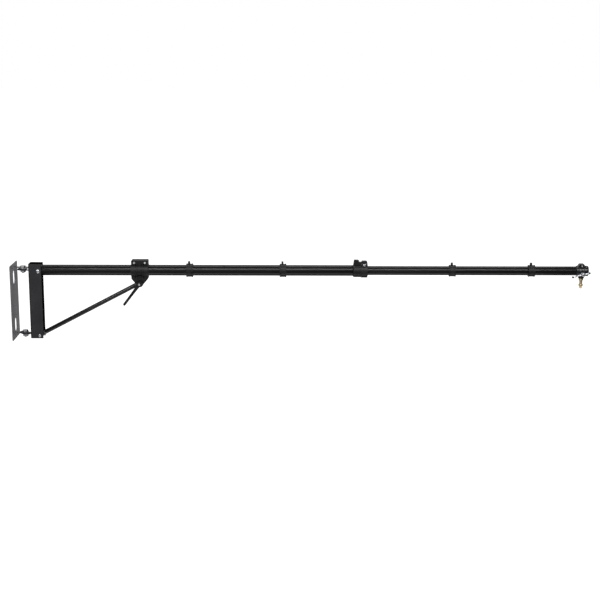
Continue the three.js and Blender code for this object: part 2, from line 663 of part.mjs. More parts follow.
function slidingBush() {
  const start = COLLAR_GRIP + GAP;
  const outer = OUTER_RADIUS;
  const slitHalf = COLLAR_SLIT / 2;
  return ring("x", outer, INNER_RADIUS + GAP, start, COLLAR_LENGTH + BUSH_PROUD)
    .subtract(block(0, 2 * COLLAR_LENGTH, -slitHalf, slitHalf, 0, 2 * outer));
}

function lockParts() {
  return [
    mesh("lock_collar", collarBody(), mouldedBlack()),
    mesh("lock_pin", lockPin(), zinc()),
    mesh("lock_bolt", lockBolt(), zinc()),
    mesh("lock_nut", lockNut(), zinc()),
    mesh("lock_lever", lockLever(), mouldedBlack()),
    mesh("sliding_bush", slidingBush(), nylon()),
  ];
}

// --- Cable clips ---

// A snap-on ring, slit at the back, with a rib at each edge and a tab on top.
function cableClip(name, x, tubeRadius) {
  const inner = tubeRadius + GAP;
  const outer = inner + CLIP_THICKNESS;
  const half = CLIP_WIDTH / 2;
  const profile = [
    [inner, -half],
    [outer + CLIP_RIB, -half],
    [outer + CLIP_RIB, -half + CLIP_RIB_WIDTH],
    [outer, -half + CLIP_RIB_WIDTH],
    [outer, half - CLIP_RIB_WIDTH],
    [outer + CLIP_RIB, half - CLIP_RIB_WIDTH],
    [outer + CLIP_RIB, half],
    [inner, half],
    [inner, -half],
  ];
  const tabStart = -CLIP_TAB_OFFSET - CLIP_TAB_LENGTH / 2;
  const tabTop = outer + CLIP_RIB + CLIP_TAB_HEIGHT;
  const tabHalf = CLIP_TAB_WIDTH / 2;
  const root = inner + CLIP_THICKNESS / 3;
  const tabBlock = block(tabStart, tabStart + CLIP_TAB_LENGTH, -tabHalf, tabHalf, root, tabTop)
    .subtract(rod("x", inner + 0.1, -half - 1, half + 1, TUBE_SIDES));
  const slitHalf = CLIP_SLIT / 2;
  const solid = lathe("x", profile, TUBE_SIDES)
    .add(tabBlock)
    .subtract(block(-half - 1, half + 1, 0, 2 * outer, -slitHalf, slitHalf));
  return group(x, 0, 0, [mesh(name, solid, mouldedBlack())]);
}

// --- Strut clamp ---

function clampOutline() {
  const half = CLAMP_WIDTH / 2;
  const top = CLAMP_EAR_TOP;
  const edge = CLAMP_CHAMFER;
  const outline = new THREE.Shape();
  outline.moveTo(top, half - edge);
  outline.lineTo(top - edge, half);
  outline.lineTo(-CLAMP_TAPER_START, half);
  const lean = Math.PI / 6;
  outline.absarc(-CLAMP_PIVOT_DROP, 0, CLAMP_LUG_RADIUS, Math.PI / 2 + lean, 1.5 * Math.PI - lean);
  outline.lineTo(-CLAMP_TAPER_START, -half);
  outline.lineTo(top - edge, -half);
  outline.lineTo(top, edge - half);
  outline.closePath();
  return outline;
}

function clampBody() {
  const half = CLAMP_WIDTH / 2;
  const depth = CLAMP_DEPTH / 2;
  const low = CLAMP_PIVOT_DROP + CLAMP_LUG_RADIUS;
  const wide = 2 * CLAMP_RADIUS;
  let body = rod("x", CLAMP_RADIUS, -half, half, TUBE_SIDES)
    .add(block(-half, half, -depth, depth, 0, CLAMP_EAR_TOP))
    .add(block(-half, half, -depth, depth, -low, 0));
  const ribHalf = CLAMP_RIB_WIDTH / 2;
  const rib = rod("x", CLAMP_RADIUS + CLAMP_RIB, -ribHalf, ribHalf, TUBE_SIDES);
  for (const side of [-1, 1]) {
    body = body.add(rib.translate(side * CLAMP_RIB_OFFSET, 0, 0));
  }
  const screwHole = rod("y", CLAMP_SCREW_RADIUS + GAP, -wide, wide);
  const recess = rod("y", CLAMP_RECESS_RADIUS, -wide, CLAMP_RECESS_DEPTH - depth);
  for (const side of [-1, 1]) {
    const x = side * CLAMP_SCREW_OFFSET;
    body = body.subtract(screwHole.translate(x, 0, CLAMP_SCREW_HEIGHT));
    body = body.subtract(recess.translate(x, 0, CLAMP_SCREW_HEIGHT));
  }
  const fork = CLAMP_FORK_HALF_GAP;
  return body
    .intersect(extrusion("y", clampOutline(), -wide, wide))
    .subtract(rod("x", LINER_OUTER + GAP, -wide, wide, TUBE_SIDES))
    .subtract(block(-wide, wide, -fork, fork, -2 * low, -CLAMP_FORK_ROOF))
    .subtract(rod("y", CLAMP_BOLT_RADIUS + GAP, -wide, wide).translate(0, 0, -CLAMP_PIVOT_DROP));
}

function clampShell(side) {
  const wide = 3 * CLAMP_RADIUS;
  const near = side * SPLIT / 2;
  const far = side * wide;
  const keep = block(-wide, wide, Math.min(near, far), Math.max(near, far), -wide, wide);
  return clampBody().intersect(keep);
}

function clampLiner() {
  const half = CLAMP_WIDTH / 2 + LINER_PROUD;
  const slitHalf = LINER_SLIT / 2;
  return ring("x", LINER_OUTER, OUTER_RADIUS + GAP, -half, half)
    .subtract(block(-half - 1, half + 1, -slitHalf, slitHalf, 0, 2 * LINER_OUTER));
}

function clampScrew() {
  const seat = CLAMP_RECESS_DEPTH - CLAMP_DEPTH / 2 - GAP;
  const end = CLAMP_DEPTH / 2 + CLAMP_NUT_HEIGHT + 1;
  return rod("y", CLAMP_SCREW_HEAD_RADIUS, seat - CLAMP_RECESS_DEPTH, seat)
    .add(rod("y", CLAMP_SCREW_RADIUS, seat - 1, end));
}

function clampNut() {
  const face = CLAMP_DEPTH / 2 + GAP;
  return hexagon("y", CLAMP_NUT_HEX, face, face + CLAMP_NUT_HEIGHT)
    .subtract(rod("y", CLAMP_SCREW_RADIUS + GAP, face - 1, face + CLAMP_NUT_HEIGHT + 1));
}

// Faces along the clamp bolt, from the front lug outwards.
const LUG_FACE = -CLAMP_DEPTH / 2;
const WASHER_END = LUG_FACE - GAP - CLAMP_WASHER_THICKNESS;
const LEVER_FACE = WASHER_END - GAP;

function clampBolt() {
  const head = CLAMP_DEPTH / 2 + GAP;
  const end = LEVER_FACE - LEVER_BORE_DEPTH + 1;
  return hexagon("y", CLAMP_BOLT_HEX, head, head + CLAMP_BOLT_HEAD_HEIGHT)
    .add(rod("y", CLAMP_BOLT_RADIUS, end, head + 1));
}

function clampWasher() {
  const bore = CLAMP_BOLT_RADIUS + GAP;
  return ring("y", CLAMP_WASHER_RADIUS, bore, WASHER_END, LUG_FACE - GAP, BOLT_SIDES);
}

// The lever's arm, drawn as a tapered bar with a round tip and turned to its angle.
function ratchetLever() {
  const front = LEVER_FACE - LEVER_HUB_LENGTH;
  const hub = lathe("y", [
    [0, front],
    [LEVER_HUB_TOP_RADIUS - 1, front],
    [LEVER_HUB_TOP_RADIUS, front + 1],
    [LEVER_HUB_RADIUS, LEVER_FACE - 4],
    [LEVER_HUB_RADIUS, LEVER_FACE],
    [0, LEVER_FACE],
  ], TUBE_SIDES);
  const root = LEVER_ARM_ROOT_WIDTH / 2;
  const tip = LEVER_ARM_TIP_WIDTH / 2;
  const outline = new THREE.Shape();
  outline.moveTo(root, 0);
  outline.lineTo(-root, 0);
  outline.absarc(0, -LEVER_ARM_LENGTH + tip, tip, Math.PI, 2 * Math.PI);
  outline.closePath();
  const arm = extrusion("y", outline, front + 0.5, front + LEVER_ARM_THICKNESS);
  const bore = rod("y", CLAMP_BOLT_RADIUS + GAP, LEVER_FACE - LEVER_BORE_DEPTH, LEVER_FACE + 1);
  const screwSeat = rod("y", LEVER_SCREW_RADIUS + GAP, front - 1, front + LEVER_SCREW_HEIGHT / 2);
  return hub.add(arm.rotate([0, -LEVER_ANGLE_DEG, 0])).subtract(bore).subtract(screwSeat);
}

function leverScrew() {
  const seat = LEVER_FACE - LEVER_HUB_LENGTH + LEVER_SCREW_HEIGHT / 2 - GAP;
  return rod("y", LEVER_SCREW_RADIUS, seat - LEVER_SCREW_HEIGHT, seat);
}

// --- Strut: local +X runs from the post up to the clamp pivot, which is the origin ---

function strutVector() {
  return new THREE.Vector2(
    BOOM_PIVOT_X + CLAMP_FROM_PIVOT - STRUT_PIVOT_X,
    BOOM_HEIGHT - CLAMP_PIVOT_DROP - STRUT_PIVOT_HEIGHT,
  );
}

function strutTube(length) {
  const inner = STRUT_RADIUS - STRUT_WALL;
  const from = STRUT_LOWER_SETBACK - length;
  return ring("x", STRUT_RADIUS, inner, from, -STRUT_UPPER_SETBACK, BOLT_SIDES);
}

function strutUpperEnd() {
  const plug = STRUT_RADIUS - STRUT_WALL - GAP;
  const half = CLAMP_FORK_HALF_GAP - 2 * GAP;
  const shoulder = GAP - STRUT_UPPER_SETBACK;
  const bore = rod("y", CLAMP_BOLT_RADIUS + GAP, -2 * half, 2 * half);
  return rod("y", STRUT_EYE_RADIUS, -half, half)
    .add(block(shoulder, 0, -half, half, 1 - STRUT_RADIUS, STRUT_RADIUS - 1))
    .add(rod("x", plug, shoulder - STRUT_PLUG_DEPTH, shoulder + 1))
    .subtract(bore);
}

// An open hook that cups the pivot bolt from below, so that the bolt can leave it upwards.
function strutLowerEnd(length) {
  const plug = STRUT_RADIUS - STRUT_WALL - GAP;
  const half = STRUT_TONGUE_HALF_WIDTH;
  const cup = STRUT_BOLT_RADIUS + STRUT_HOOK_GAP;
  const floor = cup + STRUT_HOOK_WALL;
  const shoulder = STRUT_LOWER_SETBACK - GAP;
  const outline = new THREE.Shape();
  outline.moveTo(plug, shoulder);
  outline.lineTo(plug, shoulder - 4);
  outline.lineTo(-cup, shoulder - 6);
  outline.absarc(0, 0, cup, Math.PI, 1.5 * Math.PI);
  outline.lineTo(STRUT_HOOK_LIP, -cup);
  outline.lineTo(STRUT_HOOK_LIP, -cup - 2);
  outline.absarc(0, 0, floor, 1.5 * Math.PI, Math.PI, true);
  outline.lineTo(-STRUT_RADIUS, shoulder);
  outline.closePath();
  return extrusion("y", outline, -half, half)
    .add(rod("x", plug, shoulder - 2, shoulder + STRUT_PLUG_DEPTH))
    .translate(-length, 0, 0);
}

function strutGroup() {
  const run = strutVector();
  const length = run.length();
  const holder = group(0, 0, -CLAMP_PIVOT_DROP, [
    mesh("strut_tube", strutTube(length), blackTube()),
    mesh("strut_upper_end", strutUpperEnd(), zinc()),
    mesh("strut_lower_end", strutLowerEnd(length), zinc()),
  ]);
  holder.rotation.y = -run.angle();
  return holder;
}

function clampParts() {
  const side = CLAMP_SCREW_OFFSET;
  return group(CLAMP_FROM_PIVOT, 0, 0, [
    mesh("clamp_front_shell", clampShell(-1), mouldedBlack()),
    mesh("clamp_rear_shell", clampShell(1), mouldedBlack()),
    mesh("clamp_liner", clampLiner(), nylon()),
    group(-side, 0, CLAMP_SCREW_HEIGHT, [
      mesh("clamp_screw_left", clampScrew(), zinc()),
      mesh("clamp_nut_left", clampNut(), zinc()),
    ]),
    group(side, 0, CLAMP_SCREW_HEIGHT, [
      mesh("clamp_screw_right", clampScrew(), zinc()),
      mesh("clamp_nut_right", clampNut(), zinc()),
    ]),
    group(0, 0, -CLAMP_PIVOT_DROP, [
      mesh("clamp_bolt", clampBolt(), zinc()),
      mesh("clamp_washer", clampWasher(), zinc()),
      mesh("ratchet_lever", ratchetLever(), mouldedBlack()),
      mesh("lever_screw", leverScrew(), zinc()),
    ]),
    strutGroup(),
  ]);
}

// --- Head and spigot, in a frame whose origin is on the boom axis above the spigot ---

const HEAD_LEFT = -SPIGOT_FROM_HEAD_FACE;
const HEAD_RIGHT = HEAD_LEFT + HEAD_LENGTH;
const SOCKET_TOP = SPIGOT_HIDDEN_LENGTH - HEAD_BOSS_DEPTH;

function headCasting() {
  const barrel = lathe("x", [
    [0, HEAD_LEFT],
    [HEAD_RADIUS - 1.5, HEAD_LEFT],
    [HEAD_RADIUS, HEAD_LEFT + 1.5],
    [HEAD_RADIUS, HEAD_RIGHT - 2],
    [HEAD_RADIUS - 2, HEAD_RIGHT],
    [0, HEAD_RIGHT],
  ], TUBE_SIDES);
  const bumpHalf = HEAD_BUMP_LENGTH / 2;
  const bump = extrusion("y", outlineOf([
    [0, -bumpHalf - 6],
    [HEAD_RADIUS - 2, -bumpHalf - 6],
    [HEAD_BUMP_TOP, -bumpHalf],
    [HEAD_BUMP_TOP, bumpHalf],
    [HEAD_RADIUS - 2, bumpHalf + 6],
    [0, bumpHalf + 6],
  ]), -HEAD_BUMP_WIDTH / 2, HEAD_BUMP_WIDTH / 2);
  const socketEnd = HEAD_LEFT + HEAD_SOCKET_DEPTH + GAP;
  const sleeve = rod("x", INNER_RADIUS + GAP, HEAD_LEFT - 1, socketEnd, TUBE_SIDES);
  const tailRadius = INNER_RADIUS - INNER_WALL - GAP;
  const tail = rod("x", tailRadius, HEAD_LEFT - HEAD_TAIL_DEPTH, socketEnd + 1, TUBE_SIDES);
  const bore = rod("z", SPIGOT_RADIUS + GAP, -2 * HEAD_BOSS_DEPTH, SOCKET_TOP + GAP, TUBE_SIDES);
  const bossWall = HEAD_RADIUS / 2;
  const front = rod("y", HEAD_FRONT_BOSS_RADIUS, -HEAD_FRONT_BOSS_REACH, -bossWall)
    .translate(0, 0, -LOCKING_SCREW_DROP);
  const screwBore = rod("y", LOCKING_SCREW_RADIUS + GAP, -2 * HEAD_RADIUS, 0)
    .translate(0, 0, -LOCKING_SCREW_DROP);
  const headScrewBore = rod("y", HEAD_SCREW_RADIUS + GAP, -HEAD_BUMP_WIDTH, HEAD_BUMP_WIDTH / 3)
    .translate(0, 0, HEAD_SCREW_HEIGHT);
  return barrel
    .add(bump)
    .add(rod("z", HEAD_BOSS_RADIUS, -HEAD_BOSS_DEPTH, 0, TUBE_SIDES))
    .add(front)
    .subtract(sleeve)
    .add(tail)
    .subtract(bore)
    .subtract(screwBore)
    .subtract(headScrewBore);
}

function headScrew() {
  const face = -HEAD_BUMP_WIDTH / 2 - GAP;
  return rod("y", HEAD_SCREW_HEAD_RADIUS, face - HEAD_SCREW_HEAD_HEIGHT, face)
    .add(rod("y", HEAD_SCREW_RADIUS, face - 1, HEAD_BUMP_WIDTH / 3 - 1))
    .translate(0, 0, HEAD_SCREW_HEIGHT);
}

// A double-ended stud: plain shank in the head, then flange, waist, flange and thread.
function spigot() {
  const face = -HEAD_BOSS_DEPTH;
  const waistTop = face - SPIGOT_UPPER_FLANGE;
  const waistEnd = waistTop - SPIGOT_WAIST_LENGTH;
  const flangeEnd = waistEnd - SPIGOT_LOWER_FLANGE;
  const end = flangeEnd - SPIGOT_THREAD_LENGTH;
  return lathe("z", [
    [0, end],
    [SPIGOT_THREAD_RADIUS - 1, end],
    [SPIGOT_THREAD_RADIUS, end + 1],
    [SPIGOT_THREAD_RADIUS, flangeEnd],
    [SPIGOT_RADIUS, flangeEnd],
    [SPIGOT_RADIUS, waistEnd],
    [SPIGOT_WAIST_RADIUS, waistEnd + 1],
    [SPIGOT_WAIST_RADIUS, waistTop - 1],
    [SPIGOT_RADIUS, waistTop],
    [SPIGOT_RADIUS, SOCKET_TOP],
    [0, SOCKET_TOP],
  ], TUBE_SIDES);
}

const TOMMY_Y = -LOCKING_HUB_START - LOCKING_HUB_LENGTH / 2;

function lockingScrew() {
  const tip = -SPIGOT_RADIUS - 2 * GAP;
  const start = -LOCKING_HUB_START;
  const end = start - LOCKING_HUB_LENGTH;
  const hub = lathe("y", [
    [0, end],
    [LOCKING_HUB_RADIUS - 1, end],
    [LOCKING_HUB_RADIUS, end + 1],
    [LOCKING_HUB_RADIUS, start - 1],
    [LOCKING_HUB_RADIUS - 1, start],
    [0, start],
  ]);
  const hole = rod("x", TOMMY_RADIUS + GAP, -LOCKING_HUB_RADIUS - 1, LOCKING_HUB_RADIUS + 1)
    .rotate([0, -TOMMY_TILT_DEG, 0])
    .translate(0, TOMMY_Y, 0);
  return hub.add(rod("y", LOCKING_SCREW_RADIUS, start - 1, tip)).subtract(hole);
}

function tommyParts() {
  const left = -TOMMY_LENGTH / 2 - TOMMY_OFFSET;
  const right = TOMMY_LENGTH / 2 - TOMMY_OFFSET;
  const cap = (from) => rod("x", TOMMY_CAP_RADIUS, from, from + TOMMY_CAP_LENGTH);
  const holder = group(0, TOMMY_Y, 0, [
    mesh("tommy_bar", rod("x", TOMMY_RADIUS, left, right), zinc()),
    mesh("tommy_cap_left", cap(left - GAP - TOMMY_CAP_LENGTH), nylon()),
    mesh("tommy_cap_right", cap(right + GAP), nylon()),
  ]);
  holder.rotation.y = THREE.MathUtils.degToRad(-TOMMY_TILT_DEG);
  return holder;
}

function headParts() {
  return group(HEAD_FACE + SPIGOT_FROM_HEAD_FACE, 0, 0, [
    mesh("head_casting", headCasting(), mouldedBlack()),
    mesh("head_screw", headScrew(), zinc()),
    mesh("spigot", spigot(), brass()),
    group(0, 0, -LOCKING_SCREW_DROP, [
      mesh("locking_screw", lockingScrew(), zinc()),
      tommyParts(),
    ]),
  ]);
}

// --- The whole arm ---

const arm = new THREE.Group();
arm.add(
  mesh("wall_plate", wallPlate(), greyCoat()),
  group(SWIVEL_REACH, 0, 0, [
    ...swivelSet("upper", 1),
    ...swivelSet("lower", -1),
    ...postParts(),
  ]),
  group(BOOM_PIVOT_X, 0, BOOM_HEIGHT, [
    ...mirroredPair("boom_spacer", boomSpacer(), nylon),
    mesh("outer_tube", outerTube(), blackTube()),
    mesh("butt_plug", buttPlug(), nylon()),
    clampParts(),
    cableClip("cable_clip_1", CLAMP_FROM_PIVOT + CLIP_1_FROM_CLAMP, OUTER_RADIUS),
    cableClip("cable_clip_2", COLLAR_START - CLIP_2_FROM_COLLAR, OUTER_RADIUS),
    group(COLLAR_START, 0, 0, lockParts()),
    mesh("inner_tube", innerTube(), blackTube()),
    mesh("inner_glide", innerGlide(), nylon()),
    cableClip("cable_clip_3", HEAD_FACE - CLIP_3_FROM_HEAD, INNER_RADIUS),
    cableClip("cable_clip_4", HEAD_FACE - CLIP_4_FROM_HEAD, INNER_RADIUS),
    headParts(),
  ]),
);

export default arm;
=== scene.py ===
"""A wall-mounted telescopic boom arm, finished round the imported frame. Metres, +Z up."""
import json
import math

import bmesh
import bpy
from mathutils import Euler, Matrix, Vector

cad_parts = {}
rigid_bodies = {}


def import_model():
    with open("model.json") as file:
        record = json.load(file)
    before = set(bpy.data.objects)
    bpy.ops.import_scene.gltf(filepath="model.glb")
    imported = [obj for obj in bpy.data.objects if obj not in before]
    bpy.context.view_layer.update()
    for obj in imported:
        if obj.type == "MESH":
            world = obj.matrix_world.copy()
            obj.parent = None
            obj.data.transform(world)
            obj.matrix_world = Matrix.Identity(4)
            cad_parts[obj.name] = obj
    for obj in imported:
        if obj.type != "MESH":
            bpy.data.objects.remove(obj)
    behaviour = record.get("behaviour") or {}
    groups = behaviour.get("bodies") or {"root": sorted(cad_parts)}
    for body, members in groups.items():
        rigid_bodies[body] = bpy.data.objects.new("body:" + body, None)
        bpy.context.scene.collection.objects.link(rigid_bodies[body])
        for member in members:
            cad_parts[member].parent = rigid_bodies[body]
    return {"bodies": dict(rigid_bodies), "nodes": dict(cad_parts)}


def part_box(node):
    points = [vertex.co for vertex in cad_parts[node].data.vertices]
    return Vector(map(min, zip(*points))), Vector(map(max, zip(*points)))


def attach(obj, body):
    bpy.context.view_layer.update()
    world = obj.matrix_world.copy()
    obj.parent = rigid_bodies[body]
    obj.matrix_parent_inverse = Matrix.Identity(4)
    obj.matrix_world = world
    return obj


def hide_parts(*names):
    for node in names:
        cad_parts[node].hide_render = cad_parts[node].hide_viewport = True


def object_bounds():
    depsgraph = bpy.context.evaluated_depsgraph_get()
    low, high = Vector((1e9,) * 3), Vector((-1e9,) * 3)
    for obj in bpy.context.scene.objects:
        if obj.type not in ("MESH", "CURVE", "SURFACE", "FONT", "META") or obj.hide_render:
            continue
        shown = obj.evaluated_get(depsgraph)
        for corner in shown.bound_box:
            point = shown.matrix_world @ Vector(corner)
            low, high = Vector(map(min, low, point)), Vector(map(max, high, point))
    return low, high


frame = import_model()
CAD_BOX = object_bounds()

bl_info = {
    "name": "Wall Boom Arm",
    "version": (1, 0, 0),
    "blender": (4, 5, 0),
    "location": "View3D > Sidebar > Boom Arm",
    "description": "Builds and finishes a wall-mounted telescopic boom arm",
    "category": "Object",
}

MM = 0.001
GAP = 0.3 * MM
FINE = 96
ROUND = 48
SMALL = 32
X_AXIS = Vector((1, 0, 0))
Y_AXIS = Vector((0, 1, 0))
Z_AXIS = Vector((0, 0, 1))


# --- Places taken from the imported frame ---

def low(name):
    return Vector(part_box(name)[0])


def high(name):
    return Vector(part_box(name)[1])


def middle(name):
    return (low(name) + high(name)) / 2


def reach(name):
    """Half the size of a node's box along each axis."""
    return (high(name) - low(name)) / 2


def spot(name, **moved):
    """The middle of a node's box, with some of its coordinates moved."""
    made = middle(name)
    for axis, value in moved.items():
        setattr(made, axis, value)
    return made


def along(direction, origin, up=Z_AXIS):
    """Local +Z points along direction and local +X as near to up as it can."""
    z = Vector(direction).normalized()
    x = (Vector(up) - z * z.dot(up))
    if x.length < 1e-6:
        x = X_AXIS - z * z.dot(X_AXIS)
    x.normalize()
    turn = Matrix((x, z.cross(x), z)).transposed().to_4x4()
    return Matrix.Translation(origin) @ turn


def body_of(name):
    """The body that a node rides on."""
    parent = frame["nodes"][name].parent
    return next(body for body, empty in frame["bodies"].items() if empty == parent)


# --- Sizes that a box of the frame doesn't show ---

BOOM_AXIS = middle("outer_tube")
PIVOT = Vector((middle("clamp_bolt").x, 0, middle("clamp_bolt").z))
CLAMP_X = PIVOT.x
OUTER_RADIUS = reach("outer_tube").y
INNER_RADIUS = reach("inner_tube").y
STRUT_RADIUS = reach("strut_tube").y
CLAMP_RADIUS = 25.5 * MM
CLAMP_DEPTH = 34 * MM
SHEET = 3 * MM
TAB_HALF = 20 * MM
POST_BACK = 58 * MM
SWIVEL_HEAD = 6.5 * MM
THREAD = 12 * MM
LEVER_LEAN = 53
LEVER_DROP = 52
HEAD_LENGTH = 43 * MM
HEAD_RADIUS = 18.5 * MM
BAR_RADIUS = 2.6 * MM
M5_BORE = 2.5 * MM + GAP
M8_BORE = 4 * MM + GAP
M10_BORE = 5 * MM + GAP
M5_PITCH = 0.8 * MM
TUBE_EASING = 0.35 * MM
WELD_RIPPLE = 1.6 * MM
THROUGH = 50 * MM
SHARP_ANGLE = math.radians(30)

# The studio's fixed numbers, in metres, degrees and millimetres of lens
FLOOR_HALF = 30
CAMERA_PLACE = (1.0144, -4.6574, 1.0197)
CAMERA_PITCH = 77.7
CAMERA_ROLL = -0.11
CAMERA_LENS = 80.4

# What carve does with each tool
CUT, ADD, KEEP = "DIFFERENCE", "UNION", "INTERSECT"


# --- Closed meshes from outlines and profiles ---

def arc(centre, radius, start, end, steps):
    """Points on an arc, angles in degrees."""
    points = []
    for i in range(steps + 1):
        angle = math.radians(start + (end - start) * i / steps)
        points.append((centre[0] + radius * math.cos(angle), centre[1] + radius * math.sin(angle)))
    return points


def mesh_of(bm, place=None):
    if place is not None:
        bm.transform(place)
    bmesh.ops.remove_doubles(bm, verts=bm.verts, dist=1e-7)
    bmesh.ops.recalc_face_normals(bm, faces=bm.faces)
    made = bpy.data.meshes.new("shape")
    bm.to_mesh(made)
    bm.free()
    return made


def lathe(profile, place, sides=ROUND):
    """Turns (radius, height) pairs about local Z. It closes on the axis or on itself."""
    bm = bmesh.new()
    rings = []
    for radius, height in profile:
        if radius < 1e-9:
            rings.append([bm.verts.new((0, 0, height))] * sides)
        else:
            rings.append([
                bm.verts.new((radius * math.cos(a), radius * math.sin(a), height))
                for a in (2 * math.pi * i / sides for i in range(sides))
            ])
    pairs = list(zip(rings, rings[1:]))
    if profile[0][0] > 1e-9:
        pairs.append((rings[-1], rings[0]))
    for first, second in pairs:
        for i in range(sides):
            j = (i + 1) % sides
            corners = dict.fromkeys((first[i], first[j], second[j], second[i]))
            if len(corners) > 2:
                bm.faces.new(corners)
    return mesh_of(bm, place)


def rod(radius, start, end, place, sides=ROUND):
    return lathe([(0, start), (radius, start), (radius, end), (0, end)], place, sides)


def eased_rod(radius, start, end, ease, place):
    """A rod with both its ends chamfered."""
    return lathe([(0, start), (radius - ease, start), (radius, start + ease),
                  (radius, end - ease), (radius - ease, end), (0, end)], place)


def ring(outer, inner, start, end, place, sides=ROUND):
    return lathe([(inner, start), (outer, start), (outer, end), (inner, end)], place, sides)


def prism(outline, start, end, place):
    """An outline in local x and y, raised along local Z."""
    bm = bmesh.new()
    bottom = [bm.verts.new((u, v, start)) for u, v in outline]
    top = [bm.verts.new((u, v, end)) for u, v in outline]
    bm.faces.new(bottom)
    bm.faces.new(top)
    for i in range(len(outline)):
        j = (i + 1) % len(outline)
        bm.faces.new((bottom[i], bottom[j], top[j], top[i]))
    return mesh_of(bm, place)


def block(lowest, highest):
    bm = bmesh.new()
    bmesh.ops.create_cube(bm, size=1)
    size = Vector(highest) - Vector(lowest)
    centre = (Vector(highest) + Vector(lowest)) / 2
    return mesh_of(bm, Matrix.Translation(centre) @ Matrix.Diagonal((*size, 1)))


def hexagon(across, start, end, place, chamfer=0.0):
    """A hexagonal prism whose corners are turned off at its far end, as on a nut."""
    corner = across / math.sqrt(3)
    outline = [(corner * math.cos(math.radians(60 * i)),
                corner * math.sin(math.radians(60 * i))) for i in range(6)]
    body = prism(outline, start, end, place)
    if chamfer <= 0:
        return body
    rim = across / 2 * 0.97
    cone = lathe([
        (0, start - corner), (corner * 1.2, start - corner), (corner * 1.2, end - chamfer),
        (rim, end), (0, end),
    ], place)
    return carve(body, (KEEP, cone))


def copy_of(name):
    """A node's own shape with its loose triangles joined into whole faces."""
    bm = bmesh.new()
    bm.from_mesh(frame["nodes"][name].data)
    bmesh.ops.remove_doubles(bm, verts=bm.verts, dist=1e-6)
    bmesh.ops.dissolve_limit(
        bm, angle_limit=math.radians(1), verts=bm.verts, edges=bm.edges)
    return mesh_of(bm)


def baked(holder):
    """The evaluated mesh of an object, which is then removed."""
    bpy.context.view_layer.update()
    graph = bpy.context.evaluated_depsgraph_get()
    result = bpy.data.meshes.new_from_object(
        holder.evaluated_get(graph), preserve_all_data_layers=True, depsgraph=graph)
    bpy.data.objects.remove(holder)
    return result


def holder_of(mesh, name="holder"):
    holder = bpy.data.objects.new(name, mesh)
    bpy.context.scene.collection.objects.link(holder)
    return holder


def carve(base, *steps):
    """Cuts, joins or intersects closed meshes: each step is (operation, mesh)."""
    holder = holder_of(base)
    tools = []
    for operation, mesh in steps:
        tools.append(holder_of(mesh))
        modifier = holder.modifiers.new("carve", "BOOLEAN")
        modifier.solver = "MANIFOLD"
        modifier.operation = operation
        modifier.object = tools[-1]
    result = baked(holder)
    for tool in tools:
        bpy.data.objects.remove(tool)
    if not result.polygons:
        raise RuntimeError("a carved piece came out empty")
    return result


def joined(*meshes):
    """Several meshes side by side in one, without cutting them."""
    bm = bmesh.new()
    for mesh in meshes:
        bm.from_mesh(mesh)
    made = bpy.data.meshes.new("shape")
    bm.to_mesh(made)
    bm.free()
    return made


def piece(name, mesh, nodes, slot, coat=None, body=None, soften=0.0, steps=2):
    """One finished object: smoothed, its edges eased, and tied to its body.
    Its coat is the slot's own, unless another one is given."""
    bm = bmesh.new()
    bm.from_mesh(mesh)
    bmesh.ops.dissolve_limit(
        bm, angle_limit=math.radians(0.5), verts=bm.verts, edges=bm.edges)
    bmesh.ops.dissolve_degenerate(bm, edges=bm.edges, dist=1e-6)
    bm.to_mesh(mesh)
    bm.free()
    mesh.name = name
    mesh.polygons.foreach_set("use_smooth", [True] * len(mesh.polygons))
    mesh.set_sharp_from_angle(angle=SHARP_ANGLE)
    mesh.materials.clear()
    mesh.materials.append(coat or finish(slot))
    made = holder_of(mesh, name)
    if soften > 0:
        bevel = made.modifiers.new("Eased edges", "BEVEL")
        bevel.width = soften
        bevel.segments = steps
        bevel.limit_method = "ANGLE"
        bevel.angle_limit = SHARP_ANGLE
        bevel.use_clamp_overlap = True
        bevel.harden_normals = True
    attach(made, body or body_of(nodes[0]))
    if nodes:
        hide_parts(*nodes)
    return made


# --- Node trees ---

def add_node(tree, kind, values=None, links=None, **settings):
    """One node with its settings, its socket values and what feeds it: a socket, or a node
    that gives its first output."""
    made = tree.nodes.new(kind)
    for key, value in settings.items():
        setattr(made, key, value)
    for key, value in (values or {}).items():
        made.inputs[key].default_value = value
    for key, source in (links or {}).items():
        if isinstance(source, bpy.types.Node):
            source = source.outputs[0]
        tree.links.new(source, made.inputs[key])
    return made


def new_tree(name, inputs):
    """A geometry tree with named inputs: each is (name, socket kind, default)."""
    tree = bpy.data.node_groups.new(name, "GeometryNodeTree")
    tree.interface.new_socket("Geometry", in_out="OUTPUT", socket_type="NodeSocketGeometry")
    for label, kind, default in inputs:
        made = tree.interface.new_socket(label, in_out="INPUT", socket_type=f"NodeSocket{kind}")
        if default is not None:
            made.default_value = default
    tree.interface.new_socket("Material", in_out="INPUT", socket_type="NodeSocketMaterial")
    return tree, tree.nodes.new("NodeGroupInput").outputs


def close_tree(tree, source, given):
    """Turns and places the result, makes it real and gives it its material."""
    placed = add_node(tree, "GeometryNodeTransform", links={
        "Geometry": source, "Translation": given["Place"], "Rotation": given["Turn"]})
    real = add_node(tree, "GeometryNodeRealizeInstances",
                    links={"Geometry": placed})
    dressed = add_node(tree, "GeometryNodeSetMaterial", links={
        "Geometry": real, "Material": given["Material"]})
    out = tree.nodes.new("NodeGroupOutput")
    tree.links.new(dressed.outputs["Geometry"], out.inputs[0])
    return tree


PLACE_INPUTS = [("Place", "Vector", (0, 0, 0)), ("Turn", "Rotation", None)]


